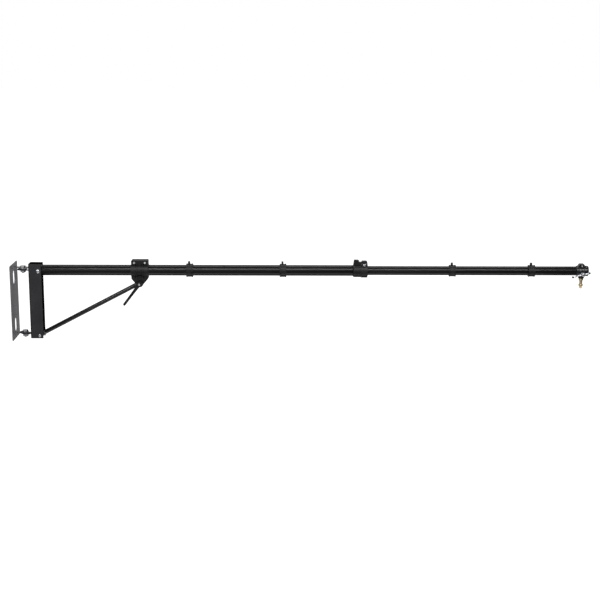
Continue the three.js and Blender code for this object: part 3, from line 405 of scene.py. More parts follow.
def grown(tree, place, coat, **sizes):
    """Runs a geometry tree with named sizes and returns its plain mesh."""
    holder = holder_of(bpy.data.meshes.new("grown"))
    modifier = holder.modifiers.new("grown", "NODES")
    modifier.node_group = tree
    sizes["Place"] = place.to_translation()
    sizes["Turn"] = place.to_euler()
    sizes["Material"] = coat
    for item in tree.interface.items_tree:
        if item.in_out == "INPUT":
            value = sizes[item.name.replace(" ", "_")]
            if isinstance(value, (Vector, Euler)):
                value = tuple(value)
            modifier[item.identifier] = value
    return baked(holder)


def drawn_tube_tree():
    """A tube as its wall's section, a rectangle with eased corners, led round a circle."""
    tree, given = new_tree("Drawn tube", [
        ("Radius", "Float", 0.02), ("Wall", "Float", 0.0015), ("Length", "Float", 1.0),
        ("Easing", "Float", 0.0003), ("Sides", "Int", FINE), *PLACE_INPUTS])
    half_wall = add_node(tree, "ShaderNodeMath", {1: 0.5}, {0: given["Wall"]},
                         operation="MULTIPLY")
    mid_radius = add_node(tree, "ShaderNodeMath", None,
                          {0: given["Radius"], 1: half_wall}, operation="SUBTRACT")
    path = add_node(tree, "GeometryNodeCurvePrimitiveCircle", None, {
        "Resolution": given["Sides"], "Radius": mid_radius})
    section = add_node(tree, "GeometryNodeCurvePrimitiveQuadrilateral", None, {
        "Width": given["Wall"], "Height": given["Length"]})
    eased = add_node(tree, "GeometryNodeFilletCurve", {"Count": 2}, {
        "Curve": section, "Radius": given["Easing"]}, mode="POLY")
    swept = add_node(tree, "GeometryNodeCurveToMesh", None, {
        "Curve": path.outputs["Curve"], "Profile Curve": eased})
    return close_tree(tree, swept, given)


def rolled_thread_tree():
    """A screw thread: a diamond section led up a helix, on a plain core."""
    tree, given = new_tree("Rolled thread", [
        ("Radius", "Float", 0.004), ("Pitch", "Float", 0.001), ("Length", "Float", 0.01),
        *PLACE_INPUTS])
    depth = add_node(tree, "ShaderNodeMath", {1: 0.6}, {0: given["Pitch"]},
                     operation="MULTIPLY")
    root = add_node(tree, "ShaderNodeMath", None,
                    {0: given["Radius"], 1: depth}, operation="SUBTRACT")
    run = add_node(tree, "ShaderNodeMath", None,
                   {0: given["Length"], 1: given["Pitch"]}, operation="SUBTRACT")
    turns = add_node(tree, "ShaderNodeMath", None,
                     {0: run, 1: given["Pitch"]}, operation="DIVIDE")
    helix = add_node(tree, "GeometryNodeCurveSpiral", {"Resolution": 24}, {
        "Rotations": turns, "Start Radius": root,
        "End Radius": root, "Height": run})
    upright = add_node(tree, "GeometryNodeSetCurveNormal", None,
                       {"Curve": helix}, mode="Z_UP")
    width = add_node(tree, "ShaderNodeMath", {1: 2.0}, {0: depth},
                     operation="MULTIPLY")
    flank = add_node(tree, "ShaderNodeMath", {1: 0.47}, {0: given["Pitch"]},
                     operation="MULTIPLY")
    ridge = add_node(tree, "GeometryNodeCurvePrimitiveQuadrilateral", None, {
        "Width": width, "Bottom Height": flank,
        "Top Height": flank}, mode="KITE")
    swept = add_node(tree, "GeometryNodeCurveToMesh", {"Fill Caps": True}, {
        "Curve": upright, "Profile Curve": ridge})
    half_pitch = add_node(tree, "ShaderNodeMath", {1: 0.5}, {0: given["Pitch"]},
                          operation="MULTIPLY")
    lift = add_node(tree, "ShaderNodeCombineXYZ", None, {"Z": half_pitch})
    raised = add_node(tree, "GeometryNodeTransform", None, {
        "Geometry": swept, "Translation": lift})
    core_radius = add_node(tree, "ShaderNodeMath", {1: 1.01}, {0: root},
                           operation="MULTIPLY")
    core = add_node(tree, "GeometryNodeMeshCylinder", {"Vertices": SMALL}, {
        "Radius": core_radius, "Depth": given["Length"]})
    half_length = add_node(tree, "ShaderNodeMath", {1: 0.5}, {0: given["Length"]},
                           operation="MULTIPLY")
    centre = add_node(tree, "ShaderNodeCombineXYZ", None, {"Z": half_length})
    stood = add_node(tree, "GeometryNodeTransform", None, {
        "Geometry": core.outputs["Mesh"], "Translation": centre})
    both = tree.nodes.new("GeometryNodeJoinGeometry")
    tree.links.new(raised.outputs[0], both.inputs[0])
    tree.links.new(stood.outputs[0], both.inputs[0])
    return close_tree(tree, both, given)


def ridge_ring_tree():
    """Equal ridges spaced round an arc, each standing out from the axis."""
    tree, given = new_tree("Ridge ring", [
        ("Count", "Int", 24), ("Radius", "Float", 0.01), ("Start", "Float", 0.0),
        ("Sweep", "Float", math.tau), ("Ridge", "Vector", (0.001, 0.001, 0.005)),
        *PLACE_INPUTS])
    bow = add_node(tree, "GeometryNodeCurveArc", None, {
        "Resolution": given["Count"], "Radius": given["Radius"],
        "Start Angle": given["Start"], "Sweep Angle": given["Sweep"]}, mode="RADIUS")
    outward = add_node(tree, "GeometryNodeInputPosition")
    turn = add_node(tree, "FunctionNodeAlignRotationToVector", None,
                    {"Vector": outward}, axis="X", pivot_axis="Z")
    ridge = add_node(tree, "GeometryNodeMeshCube", None, {"Size": given["Ridge"]})
    spread = add_node(tree, "GeometryNodeInstanceOnPoints", None, {
        "Points": bow.outputs["Curve"], "Instance": ridge.outputs["Mesh"],
        "Rotation": turn})
    return close_tree(tree, spread, given)


def weld_bead_tree():
    """A fillet weld: a round bead led along a line, its size rippling once per deposit."""
    tree, given = new_tree("Weld bead", [
        ("Length", "Float", 0.04), ("Bead", "Float", 0.0012), ("Ripple", "Float", 0.0016),
        *PLACE_INPUTS])
    far = add_node(tree, "ShaderNodeCombineXYZ", None, {"Z": given["Length"]})
    line = add_node(tree, "GeometryNodeCurvePrimitiveLine", None, {"End": far})
    steps = add_node(tree, "ShaderNodeMath", None,
                     {0: given["Length"], 1: given["Ripple"]}, operation="DIVIDE")
    finer = add_node(tree, "ShaderNodeMath", {1: 4.0}, {0: steps},
                     operation="MULTIPLY")
    spaced = add_node(tree, "GeometryNodeResampleCurve", None, {
        "Curve": line, "Count": finer})
    count = add_node(tree, "GeometryNodeInputIndex")
    phase = add_node(tree, "ShaderNodeMath", {1: math.pi / 2}, {0: count},
                     operation="MULTIPLY")
    wave = add_node(tree, "ShaderNodeMath", None, {0: phase}, operation="SINE")
    swell = add_node(tree, "ShaderNodeMath", {1: 0.1, 2: 0.9}, {0: wave},
                     operation="MULTIPLY_ADD")
    section = add_node(tree, "GeometryNodeCurvePrimitiveCircle", {"Resolution": 12},
                       {"Radius": given["Bead"]})
    swept = add_node(tree, "GeometryNodeCurveToMesh", {"Fill Caps": True}, {
        "Curve": spaced, "Profile Curve": section,
        "Scale": swell})
    return close_tree(tree, swept, given)


def fastener_row_tree():
    """Copies of one fastener at equal steps along a line."""
    tree, given = new_tree("Fastener row", [
        ("Fastener", "Object", None), ("Count", "Int", 2), ("Step", "Vector", (0.04, 0, 0)),
        *PLACE_INPUTS])
    source = add_node(tree, "GeometryNodeObjectInfo", None, {"Object": given["Fastener"]})
    points = add_node(tree, "GeometryNodeMeshLine", None, {
        "Count": given["Count"], "Offset": given["Step"]})
    spread = add_node(tree, "GeometryNodeInstanceOnPoints", None, {
        "Points": points.outputs["Mesh"], "Instance": source.outputs["Geometry"]})
    return close_tree(tree, spread, given)


# --- Finishes ---

def linear(code):
    """An sRGB hex colour as linear red, green and blue."""
    channels = [int(code[i:i + 2], 16) / 255 for i in (1, 3, 5)]
    return [c / 12.92 if c <= 0.04045 else ((c + 0.055) / 1.055) ** 2.4 for c in channels]


def new_material(name, **sockets):
    """A material with its constants on the shader's own sockets."""
    made = bpy.data.materials.new(name)
    made.use_nodes = True
    tree = made.node_tree
    tree.nodes.clear()
    shader = add_node(tree, "ShaderNodeBsdfPrincipled",
                      {key.replace("_", " "): value for key, value in sockets.items()})
    add_node(tree, "ShaderNodeOutputMaterial", None, {"Surface": shader})
    place = add_node(tree, "ShaderNodeTexCoord").outputs["Object"]
    return made, tree, shader, place


def per_metre(size_mm):
    """A texture scale whose pattern repeats about every size_mm."""
    return 1 / (size_mm * MM)


def grain(tree, place, size_mm, detail=2.0, stretch=(1, 1, 1)):
    """Noise whose grains are size_mm across, drawn out along an axis by a small stretch."""
    mapped = add_node(tree, "ShaderNodeMapping", {"Scale": stretch}, {"Vector": place})
    return add_node(tree, "ShaderNodeTexNoise",
                    {"Scale": per_metre(size_mm), "Detail": detail},
                    {"Vector": mapped}).outputs["Fac"]


def between(tree, source, low_value, high_value):
    """Spreads a 0.3 to 0.7 noise over a range of values."""
    return add_node(tree, "ShaderNodeMapRange", {
        "From Min": 0.3, "From Max": 0.7, "To Min": low_value, "To Max": high_value,
    }, {"Value": source}).outputs["Result"]


def tinted(tree, shader, source, first, second):
    """Colours the surface between two shades as the source goes from 0.3 to 0.7."""
    mix = add_node(tree, "ShaderNodeMix", {
        6: (*linear(first), 1), 7: (*linear(second), 1),
    }, {0: between(tree, source, 0, 1)}, data_type="RGBA")
    tree.links.new(mix.outputs[2], shader.inputs["Base Color"])


def bumped(tree, shader, *layers):
    """Stacks bumps, each (height source, depth in millimetres)."""
    normal = None
    for source, depth_mm in layers:
        links = {"Height": source}
        if normal is not None:
            links["Normal"] = normal
        normal = add_node(tree, "ShaderNodeBump",
                          {"Strength": 1.0, "Distance": depth_mm * MM}, links).outputs[0]
    tree.links.new(normal, shader.inputs["Normal"])


def powder_coat(name, dark, light, hollow=None):
    """Baked powder on sheet steel: a satin skin with the low dimples of orange peel.
    Inside a hollow, given as (its back in X, its half width in Y), the coat is painted shade: near
    black and with little reflection, standing for the shadow inside the channel."""
    made, tree, shader, place = new_material(name, IOR=1.5)
    peel = grain(tree, place, 1.6, 1.0)
    speck = grain(tree, place, 0.5, 3.0)
    handling = grain(tree, place, 55, 3.0)
    tinted(tree, shader, handling, dark, light)
    tree.links.new(between(tree, speck, 0.38, 0.52), shader.inputs["Roughness"])
    bumped(tree, shader, (peel, 0.05), (speck, 0.012))
    if hollow:
        painted_channel_shade(tree, shader, place, *hollow)
    return made


def painted_channel_shade(tree, shader, place, back, half):
    """Paints shade beyond a back plane and within a half width: the coat turns near black and
    reflects little, as the channel's shadowed inside does.
    """
    parts = add_node(tree, "ShaderNodeSeparateXYZ", None, {"Vector": place})
    deep = add_node(tree, "ShaderNodeMath", {1: back}, {0: parts.outputs["X"]},
                    operation="GREATER_THAN")
    aside = add_node(tree, "ShaderNodeMath", None, {0: parts.outputs["Y"]},
                     operation="ABSOLUTE")
    enclosed = add_node(tree, "ShaderNodeMath", {1: half}, {0: aside},
                        operation="LESS_THAN")
    inside = add_node(tree, "ShaderNodeMath", None,
                      {0: deep, 1: enclosed}, operation="MULTIPLY")
    coated = shader.inputs["Base Color"].links[0].from_socket
    # painted shade: the channel's inside is coloured near black where its shadow falls
    mix = add_node(tree, "ShaderNodeMix", {7: (*linear("#08080a"), 1)},
                   {0: inside, 6: coated}, data_type="RGBA")
    tree.links.new(mix.outputs[2], shader.inputs["Base Color"])
    # painted shade: reflection is turned down inside the channel
    shine = add_node(tree, "ShaderNodeMapRange", {"To Min": 0.5, "To Max": 0.05},
                     {"Value": inside})
    tree.links.new(shine.outputs["Result"], shader.inputs["Specular IOR Level"])


def anodised_tube(name, dark, light, shine):
    """Black anodised drawn aluminium: satin, with faint die lines along the tube.
    The lines are drawn 0.8 mm apart, coarser than real ones, so that they show."""
    made, tree, shader, place = new_material(name, IOR=1.6, Specular_IOR_Level=shine)
    lines = grain(tree, place, 0.8, 2.0, (0.004, 1, 1))
    cloud = grain(tree, place, 90, 2.0, (0.3, 1, 1))
    rub = grain(tree, place, 6, 4.0, (0.05, 1, 1))
    tinted(tree, shader, cloud, dark, light)
    tree.links.new(between(tree, rub, 0.3, 0.33), shader.inputs["Roughness"])
    bumped(tree, shader, (lines, 0.0015))
    return made


def moulded_nylon(name, dark, light, rough=(0.42, 0.56)):
    """Glass-filled nylon from a spark-eroded mould: a fine even grain that scatters light."""
    made, tree, shader, place = new_material(name, IOR=1.53, Specular_IOR_Level=0.35)
    texture = grain(tree, place, 0.45, 3.0)
    flow = grain(tree, place, 18, 2.0)
    tinted(tree, shader, flow, dark, light)
    tree.links.new(between(tree, texture, *rough), shader.inputs["Roughness"])
    bumped(tree, shader, (texture, 0.03))
    return made


def enamelled_casting():
    """Gloss enamel over a die casting: smooth, with the metal's slow waves under it."""
    made, tree, shader, place = new_material(
        "Black enamel on die-cast zinc", IOR=1.5, Coat_Weight=0.35, Coat_Roughness=0.12)
    waves = grain(tree, place, 5, 1.0)
    skin = grain(tree, place, 0.6, 2.0)
    tinted(tree, shader, grain(tree, place, 14, 2.0), "#141416", "#1d1d20")
    tree.links.new(between(tree, skin, 0.28, 0.4), shader.inputs["Roughness"])
    bumped(tree, shader, (waves, 0.05), (skin, 0.01))
    return made


def zinc_plate():
    """Bright zinc plate on turned steel: a cool mirror dulled by fine tool marks."""
    made, tree, shader, place = new_material(
        "Bright zinc plate on turned steel", Metallic=1.0)
    film = grain(tree, place, 7, 3.0)
    marks = grain(tree, place, 0.35, 3.0)
    tinted(tree, shader, film, "#cdd3da", "#eceff1")
    tree.links.new(between(tree, marks, 0.3, 0.42), shader.inputs["Roughness"])
    bumped(tree, shader, (marks, 0.01))
    return made


def turned_brass():
    """Brass straight from the lathe: warm, with rings of tool marks about the upright axis.
    The rings are drawn 0.5 mm apart, coarser than real ones, so that they show."""
    made, tree, shader, place = new_material("Turned brass", Metallic=0.8)
    rings = grain(tree, place, 0.5, 2.0, (0.02, 0.02, 1))
    tarnish = grain(tree, place, 9, 3.0)
    tinted(tree, shader, tarnish, "#dcc796", "#f0e0b6")
    tree.links.new(between(tree, rings, 0.42, 0.56), shader.inputs["Roughness"])
    bumped(tree, shader, (rings, 0.02))
    return made


def pale_floor():
    """A matt painted studio floor, with roller stipple too fine to see from the camera."""
    made, tree, shader, place = new_material(
        "Matt white studio paint", Roughness=0.9, Emission_Color=(1, 1, 1, 1),
        Emission_Strength=1.05)
    stipple = grain(tree, place, 8, 2.0)
    tinted(tree, shader, stipple, "#f4f4f4", "#fafafa")
    bumped(tree, shader, (stipple, 0.1))
    return made


FINISHES = {}


def finish(name):
    """Each finish is made once, on its first use."""
    makers = {
        # The plate's grey is partly its own coat and partly painted reflection: lightened to stand
        # for the sheen its face catches side-on.
        "plate_coat": lambda: powder_coat(
            "Grey powder coat on sheet steel", "#6c6c6f", "#7a7a7d"),
        # The post's coat paints shade inside its channel, near black beyond the back plane.
        "post_coat": lambda: powder_coat(
            "Black powder coat on folded steel", "#262629", "#303033",
            (POST_BACK + SHEET / 2, reach("post_channel").y - SHEET / 2)),
        "black_tube": lambda: anodised_tube(
            "Black anodised drawn aluminium", "#0c0c0e", "#131316", 0.25),
        "strut_tube": lambda: anodised_tube(
            "Black anodised strut tube", "#121214", "#1a1a1d", 0.4),
        "cast_black": enamelled_casting,
        "moulded_black": lambda: moulded_nylon(
            "Moulded glass-filled nylon", "#121214", "#1b1b1e"),
        "nylon": lambda: moulded_nylon(
            "Plain black nylon", "#202022", "#2c2c2e", (0.35, 0.48)),
        "zinc_plate": zinc_plate,
        "spigot_brass": turned_brass,
        "floor": pale_floor,
    }
    if name not in FINISHES:
        FINISHES[name] = makers[name]()
    return FINISHES[name]


# --- Sizes and settings a user would change ---

class BoomArmShape(bpy.types.PropertyGroup):
    edge: bpy.props.FloatProperty(
        name="Eased edge", description="Radius left on the sheet steel's and castings' edges",
        default=0.4 * MM, min=0.05 * MM, max=1.0 * MM, unit="LENGTH", precision=5)
    spigot_pitch: bpy.props.FloatProperty(
        name="Spigot thread pitch", description="Sixteen threads to the inch",
        default=1.5875 * MM, unit="LENGTH", precision=6)
    swivel_pitch: bpy.props.FloatProperty(
        name="Swivel thread pitch", description="Pitch of the M10 swivel bolts",
        default=1.5 * MM, unit="LENGTH", precision=5)
    pivot_pitch: bpy.props.FloatProperty(
        name="Pivot thread pitch", description="Pitch of the M8 and M6 pivot bolts",
        default=1.25 * MM, unit="LENGTH", precision=6)
    bead: bpy.props.FloatProperty(
        name="Weld bead", description="Radius of the fillet weld along each tab",
        default=1.3 * MM, unit="LENGTH", precision=5)
    teeth: bpy.props.IntProperty(
        name="Ratchet teeth", description="Serrations under the ratchet lever's hub",
        default=28, min=12, max=60)
    grips: bpy.props.IntProperty(
        name="Grip ribs", description="Ribs on the lock lever's thumb end",
        default=7, min=3, max=12)


class BoomArmStudio(bpy.types.PropertyGroup):
    key: bpy.props.FloatProperty(
        name="Front strip", description="Power of the long soft light above the camera",
        default=66.0, min=0.0, unit="POWER")
    top: bpy.props.FloatProperty(
        name="Overhead strip", description="Power of the long soft light above the arm",
        default=14.0, min=0.0, unit="POWER")
    under: bpy.props.FloatProperty(
        name="Under panel", description="Power of the soft light below the arm",
        default=12.0, min=0.0, unit="POWER")
    front: bpy.props.FloatProperty(
        name="Front panel", description="Power of the soft light beside the camera",
        default=9.0, min=0.0, unit="POWER")
    room: bpy.props.FloatProperty(
        name="Room", description="Brightness of the room that the arm mirrors",
        default=0.05, min=0.0, max=1.0)
    back: bpy.props.FloatProperty(
        name="Back wall", description="Brightness of the wall that the arm mirrors behind it",
        default=0.4, min=0.0, max=1.0)
    backdrop: bpy.props.FloatVectorProperty(
        name="Backdrop", description="Colour of the empty background",
        default=linear("#ffffff"), subtype="COLOR", min=0.0, max=1.0)
    floor_drop: bpy.props.FloatProperty(
        name="Floor drop", description="How far the floor lies below the plate's lower edge",
        default=0.9, unit="LENGTH")


# --- Pieces shared by several operators ---

def on_boom(x):
    """A place on the boom's axis: local +Z along it, local +X towards the rear."""
    return along(X_AXIS, Vector((x, 0, BOOM_AXIS.z)), Y_AXIS)


def threaded(place, radius, pitch, length, slot="zinc_plate"):
    return grown(rolled_thread_tree(), place, finish(slot),
                 Radius=radius, Pitch=pitch, Length=length)


def hex_bolt(place, radius, across, head, shank, pitch):
    """Head above local zero, shank below it, its last stretch threaded."""
    thread = min(shank * 0.75, 16 * MM)
    body = hexagon(across, 0, head, place, chamfer=across * 0.08)
    neck = rod(radius, thread - shank, 0.1 * MM, place)
    end = place @ Matrix.Translation((0, 0, -shank))
    return joined(carve(body, (ADD, neck)), threaded(end, radius, pitch, thread))


def hex_nut(place, across, height, bore):
    """A nut from local zero up, both faces turned off at the corners."""
    corner = across / math.sqrt(3)
    rim = across / 2 * 0.97
    chamfer = across * 0.08
    body = hexagon(across, 0, height, place)
    turned = lathe([
        (bore, 0), (rim, 0), (corner * 1.05, chamfer), (corner * 1.05, height - chamfer),
        (rim, height), (bore, height)], place)
    return carve(body, (KEEP, turned))


def socket_head(place, radius, height, across, depth):
    """A round cap-screw head, local zero to height, with a hexagon socket in its top."""
    ease = radius * 0.1
    body = lathe([
        (0, 0), (radius, 0), (radius, height - ease), (radius - ease, height), (0, height)],
        place)
    return carve(body, (CUT, hexagon(across, height - depth, height * 2, place)))


def cap_screw(place, head_radius, head, depth, length, thread):
    """An M5 cap screw: head above local zero, shank below it, its end threaded."""
    body = carve(
        socket_head(place, head_radius, head, 4 * MM, depth),
        (ADD, rod(2.45 * MM, thread - length, 0.1 * MM, place, SMALL)))
    tip = place @ Matrix.Translation((0, 0, -length))
    return joined(body, threaded(tip, 2.5 * MM, M5_PITCH, thread))


def ring_piece(name, node, direction, bore, slot, soften, sides=FINE):
    """A plain ring that fills a node's box, its hole along one of the frame's axes."""
    half = reach(node)
    outer = half.y if direction == X_AXIS else half.x
    piece(name, ring(outer, bore, -half.dot(direction), half.dot(direction),
                     along(direction, middle(node)), sides), [node], slot, soften=soften)


def tab_welds(name, node, slot, x, half, beyond, bead):
    """Beads along both faces of a piece's two tabs, which lie beyond the thrust washers,
    seen from the arm's middle, where beyond is 1, and within them where it is -1."""
    tree = weld_bead_tree()
    beads = []
    for washer, side in (("upper_thrust_washer", beyond), ("lower_thrust_washer", -beyond)):
        face = (high(washer) if side > 0 else low(washer)).z + side * GAP
        for height in (face, face + side * SHEET):
            beads.append(grown(tree, along(Y_AXIS, Vector((x, -half, height))), finish(slot),
                               Length=2 * half, Bead=bead, Ripple=WELD_RIPPLE))
    piece(name, joined(*beads), [], slot, body=body_of(node))


def both_sides(outline, near, far, place):
    """The same prism at the front and at the rear of the arm's middle plane."""
    for side in (-1, 1):
        start, end = sorted((side * near, side * far))
        yield prism(outline, start, end, place)


# --- Operators ---

class BuildPiece:
    """What every building operator shares."""
    bl_options = {"REGISTER", "UNDO"}

    def execute(self, context):
        self.build(context.scene.boom_arm)
        return {"FINISHED"}


class BOOMARM_OT_wall_plate(BuildPiece, bpy.types.Operator):
    """Builds the slotted wall plate, its two welded tabs and the swivel hardware"""
    bl_idname = "boom_arm.wall_plate"
    bl_label = "Wall Plate"

    def build(self, shape):
        piece("wall_plate_coated", copy_of("wall_plate"), ["wall_plate"], "plate_coat",
              soften=shape.edge)
        tab_welds("wall_plate_welds", "wall_plate", "plate_coat", SHEET, TAB_HALF, 1,
                  shape.bead)
        for name in ("upper", "lower"):
            self.swivel(name, shape)

    def swivel(self, name, shape):
        bolt, nut = f"{name}_swivel_bolt", f"{name}_swivel_nut"
        seat = spot(bolt, z=high(bolt).z - SWIVEL_HEAD)
        piece(f"{name}_hex_bolt", hex_bolt(
            along(Z_AXIS, seat), 5 * MM, 17 * MM, SWIVEL_HEAD, seat.z - low(bolt).z,
            shape.swivel_pitch), [bolt], "zinc_plate", soften=0.15 * MM)
        piece(f"{name}_hex_nut", hex_nut(
            along(Z_AXIS, spot(bolt, z=low(nut).z)), 17 * MM, 2 * reach(nut).z, M10_BORE),
            [nut], "zinc_plate", soften=0.15 * MM)
        ring_piece(f"{name}_nylon_washer", f"{name}_thrust_washer", Z_AXIS, M10_BORE, "nylon",
                   0.3 * MM)


class BOOMARM_OT_post(BuildPiece, bpy.types.Operator):
    """Builds the folded post, its weld beads, both pivot bolts and their spacers"""
    bl_idname = "boom_arm.post"
    bl_label = "Post"

    def build(self, shape):
        piece("post_folded", copy_of("post_channel"), ["post_channel"], "post_coat",
              soften=shape.edge)
        tab_welds("post_welds", "post_channel", "post_coat", POST_BACK, TAB_HALF - 2 * MM, -1,
                  shape.bead)
        self.pivot("boom_pivot", 4 * MM, 7.5 * MM, 13 * MM, shape)
        self.pivot("strut_pivot", 3 * MM, 5.8 * MM, 10 * MM, shape)
        for pivot, radius in (("boom", 4 * MM), ("strut", 3 * MM)):
            for side in ("front", "rear"):
                node = f"{pivot}_spacer_{side}"
                ring_piece(f"{node}_nylon", node, Y_AXIS, radius + GAP, "nylon", 0.15 * MM)

    def pivot(self, name, radius, head_radius, across, shape):
        bolt, nut = f"{name}_bolt", f"{name}_nut"
        head = 4.5 * MM
        place = along(-Y_AXIS, spot(bolt, y=low(bolt).y + head))
        length = 2 * reach(bolt).y - head
        dome = [(0, 0), (head_radius, 0), (head_radius, head * 0.18)]
        for i in range(1, 9):
            lean = math.radians(90 * i / 8)
            dome.append((head_radius * (0.35 + 0.65 * math.cos(lean)),
                         head * (0.18 + 0.82 * math.sin(lean))))
        dome.append((0, head))
        cap = carve(
            lathe(dome, place, FINE),
            (CUT, hexagon(radius * 1.25, head * 0.45, head * 2, place)),
            (ADD, rod(radius * 0.98, THREAD - length, 0.1 * MM, place)))
        end = place @ Matrix.Translation((0, 0, -length))
        thread = threaded(end, radius, shape.pivot_pitch, THREAD)
        piece(f"{name}_button_bolt", joined(cap, thread), [bolt], "zinc_plate",
              soften=0.12 * MM)
        piece(f"{name}_hex_nut", hex_nut(
            along(Y_AXIS, spot(bolt, y=low(nut).y)), across, 2 * reach(nut).y, radius + GAP),
            [nut], "zinc_plate", soften=0.12 * MM)


class BOOMARM_OT_tubes(BuildPiece, bpy.types.Operator):
    """Builds the two telescoping tubes, the butt plug and the hidden sleeve"""
    bl_idname = "boom_arm.tubes"
    bl_label = "Boom Tubes"

    def build(self, shape):
        drawn = drawn_tube_tree()
        for node, wall in (("outer_tube", 1.5 * MM), ("inner_tube", 1.6 * MM)):
            made = grown(drawn, along(X_AXIS, middle(node), Y_AXIS), finish("black_tube"),
                         Radius=reach(node).y, Wall=wall, Length=2 * reach(node).x,
                         Easing=TUBE_EASING, Sides=FINE)
            if node == "outer_tube":
                hole = rod(M8_BORE, -THROUGH, THROUGH,
                           along(Y_AXIS, spot("boom_pivot_bolt", y=0)))
                made = carve(made, (CUT, hole))
            piece(f"{node}_drawn", made, [node], "black_tube")
        radius = reach("butt_plug").y
        length = 2 * reach("butt_plug").x
        core = radius - 1.5 * MM - GAP
        piece("butt_plug_moulded", lathe([
            (0, 0.9 * MM), (radius * 0.55, 0.6 * MM), (radius * 0.7, 0), (radius - MM, 0),
            (radius, MM), (radius, 3 * MM), (core, 3 * MM), (core, length - MM),
            (core - MM, length), (core - 3 * MM, length), (core - 3 * MM, 4 * MM),
            (0, 4 * MM)], on_boom(low("butt_plug").x), FINE), ["butt_plug"], "nylon",
            soften=0.2 * MM)
        ring_piece("inner_glide_sleeve", "inner_glide", X_AXIS, INNER_RADIUS + GAP, "nylon",
                   0.2 * MM)


class BOOMARM_OT_strut(BuildPiece, bpy.types.Operator):
    """Builds the diagonal strut with its eye and its hook"""
    bl_idname = "boom_arm.strut"
    bl_label = "Strut"

    def build(self, shape):
        tube = finish("strut_tube")
        foot, head = spot("strut_pivot_bolt", y=0), spot("clamp_bolt", y=0)
        run = head - foot
        direction = run.normalized()
        place = along(direction, head, Y_AXIS)
        setback = (16 * MM, 19 * MM)
        length = run.length - sum(setback)
        centre = place @ Matrix.Translation((0, 0, -setback[0] - length / 2))
        made = grown(drawn_tube_tree(), centre, tube, Radius=STRUT_RADIUS, Wall=1.5 * MM,
                     Length=length, Easing=TUBE_EASING, Sides=FINE)
        piece("strut_tube_drawn", made, ["strut_tube"], "black_tube", tube)
        piece("strut_hook_cast", copy_of("strut_lower_end"), ["strut_lower_end"], "zinc_plate",
              soften=0.4 * MM)
        half = STRUT_RADIUS
        side = along(Y_AXIS, head)
        shoulder = -setback[0] + GAP
        cheek = prism([(half - MM, shoulder), (half - MM, 0), (MM - half, 0),
                       (MM - half, shoulder)], -half, half,
                      Matrix.Translation(head) @ self.turned(direction))
        eye = carve(
            rod(half + MM, -half, half, side, FINE), (ADD, cheek),
            (ADD, rod(half - 1.8 * MM, shoulder - 15 * MM, shoulder + MM, place)),
            (CUT, rod(M8_BORE, -2 * half, 2 * half, side)))
        piece("strut_eye_cast", eye, ["strut_upper_end"], "zinc_plate", soften=0.4 * MM)

    def turned(self, direction):
        """Local y along the strut, local z across it."""
        across = Y_AXIS
        normal = direction.cross(across)
        return Matrix((normal, direction, across)).transposed().to_4x4()


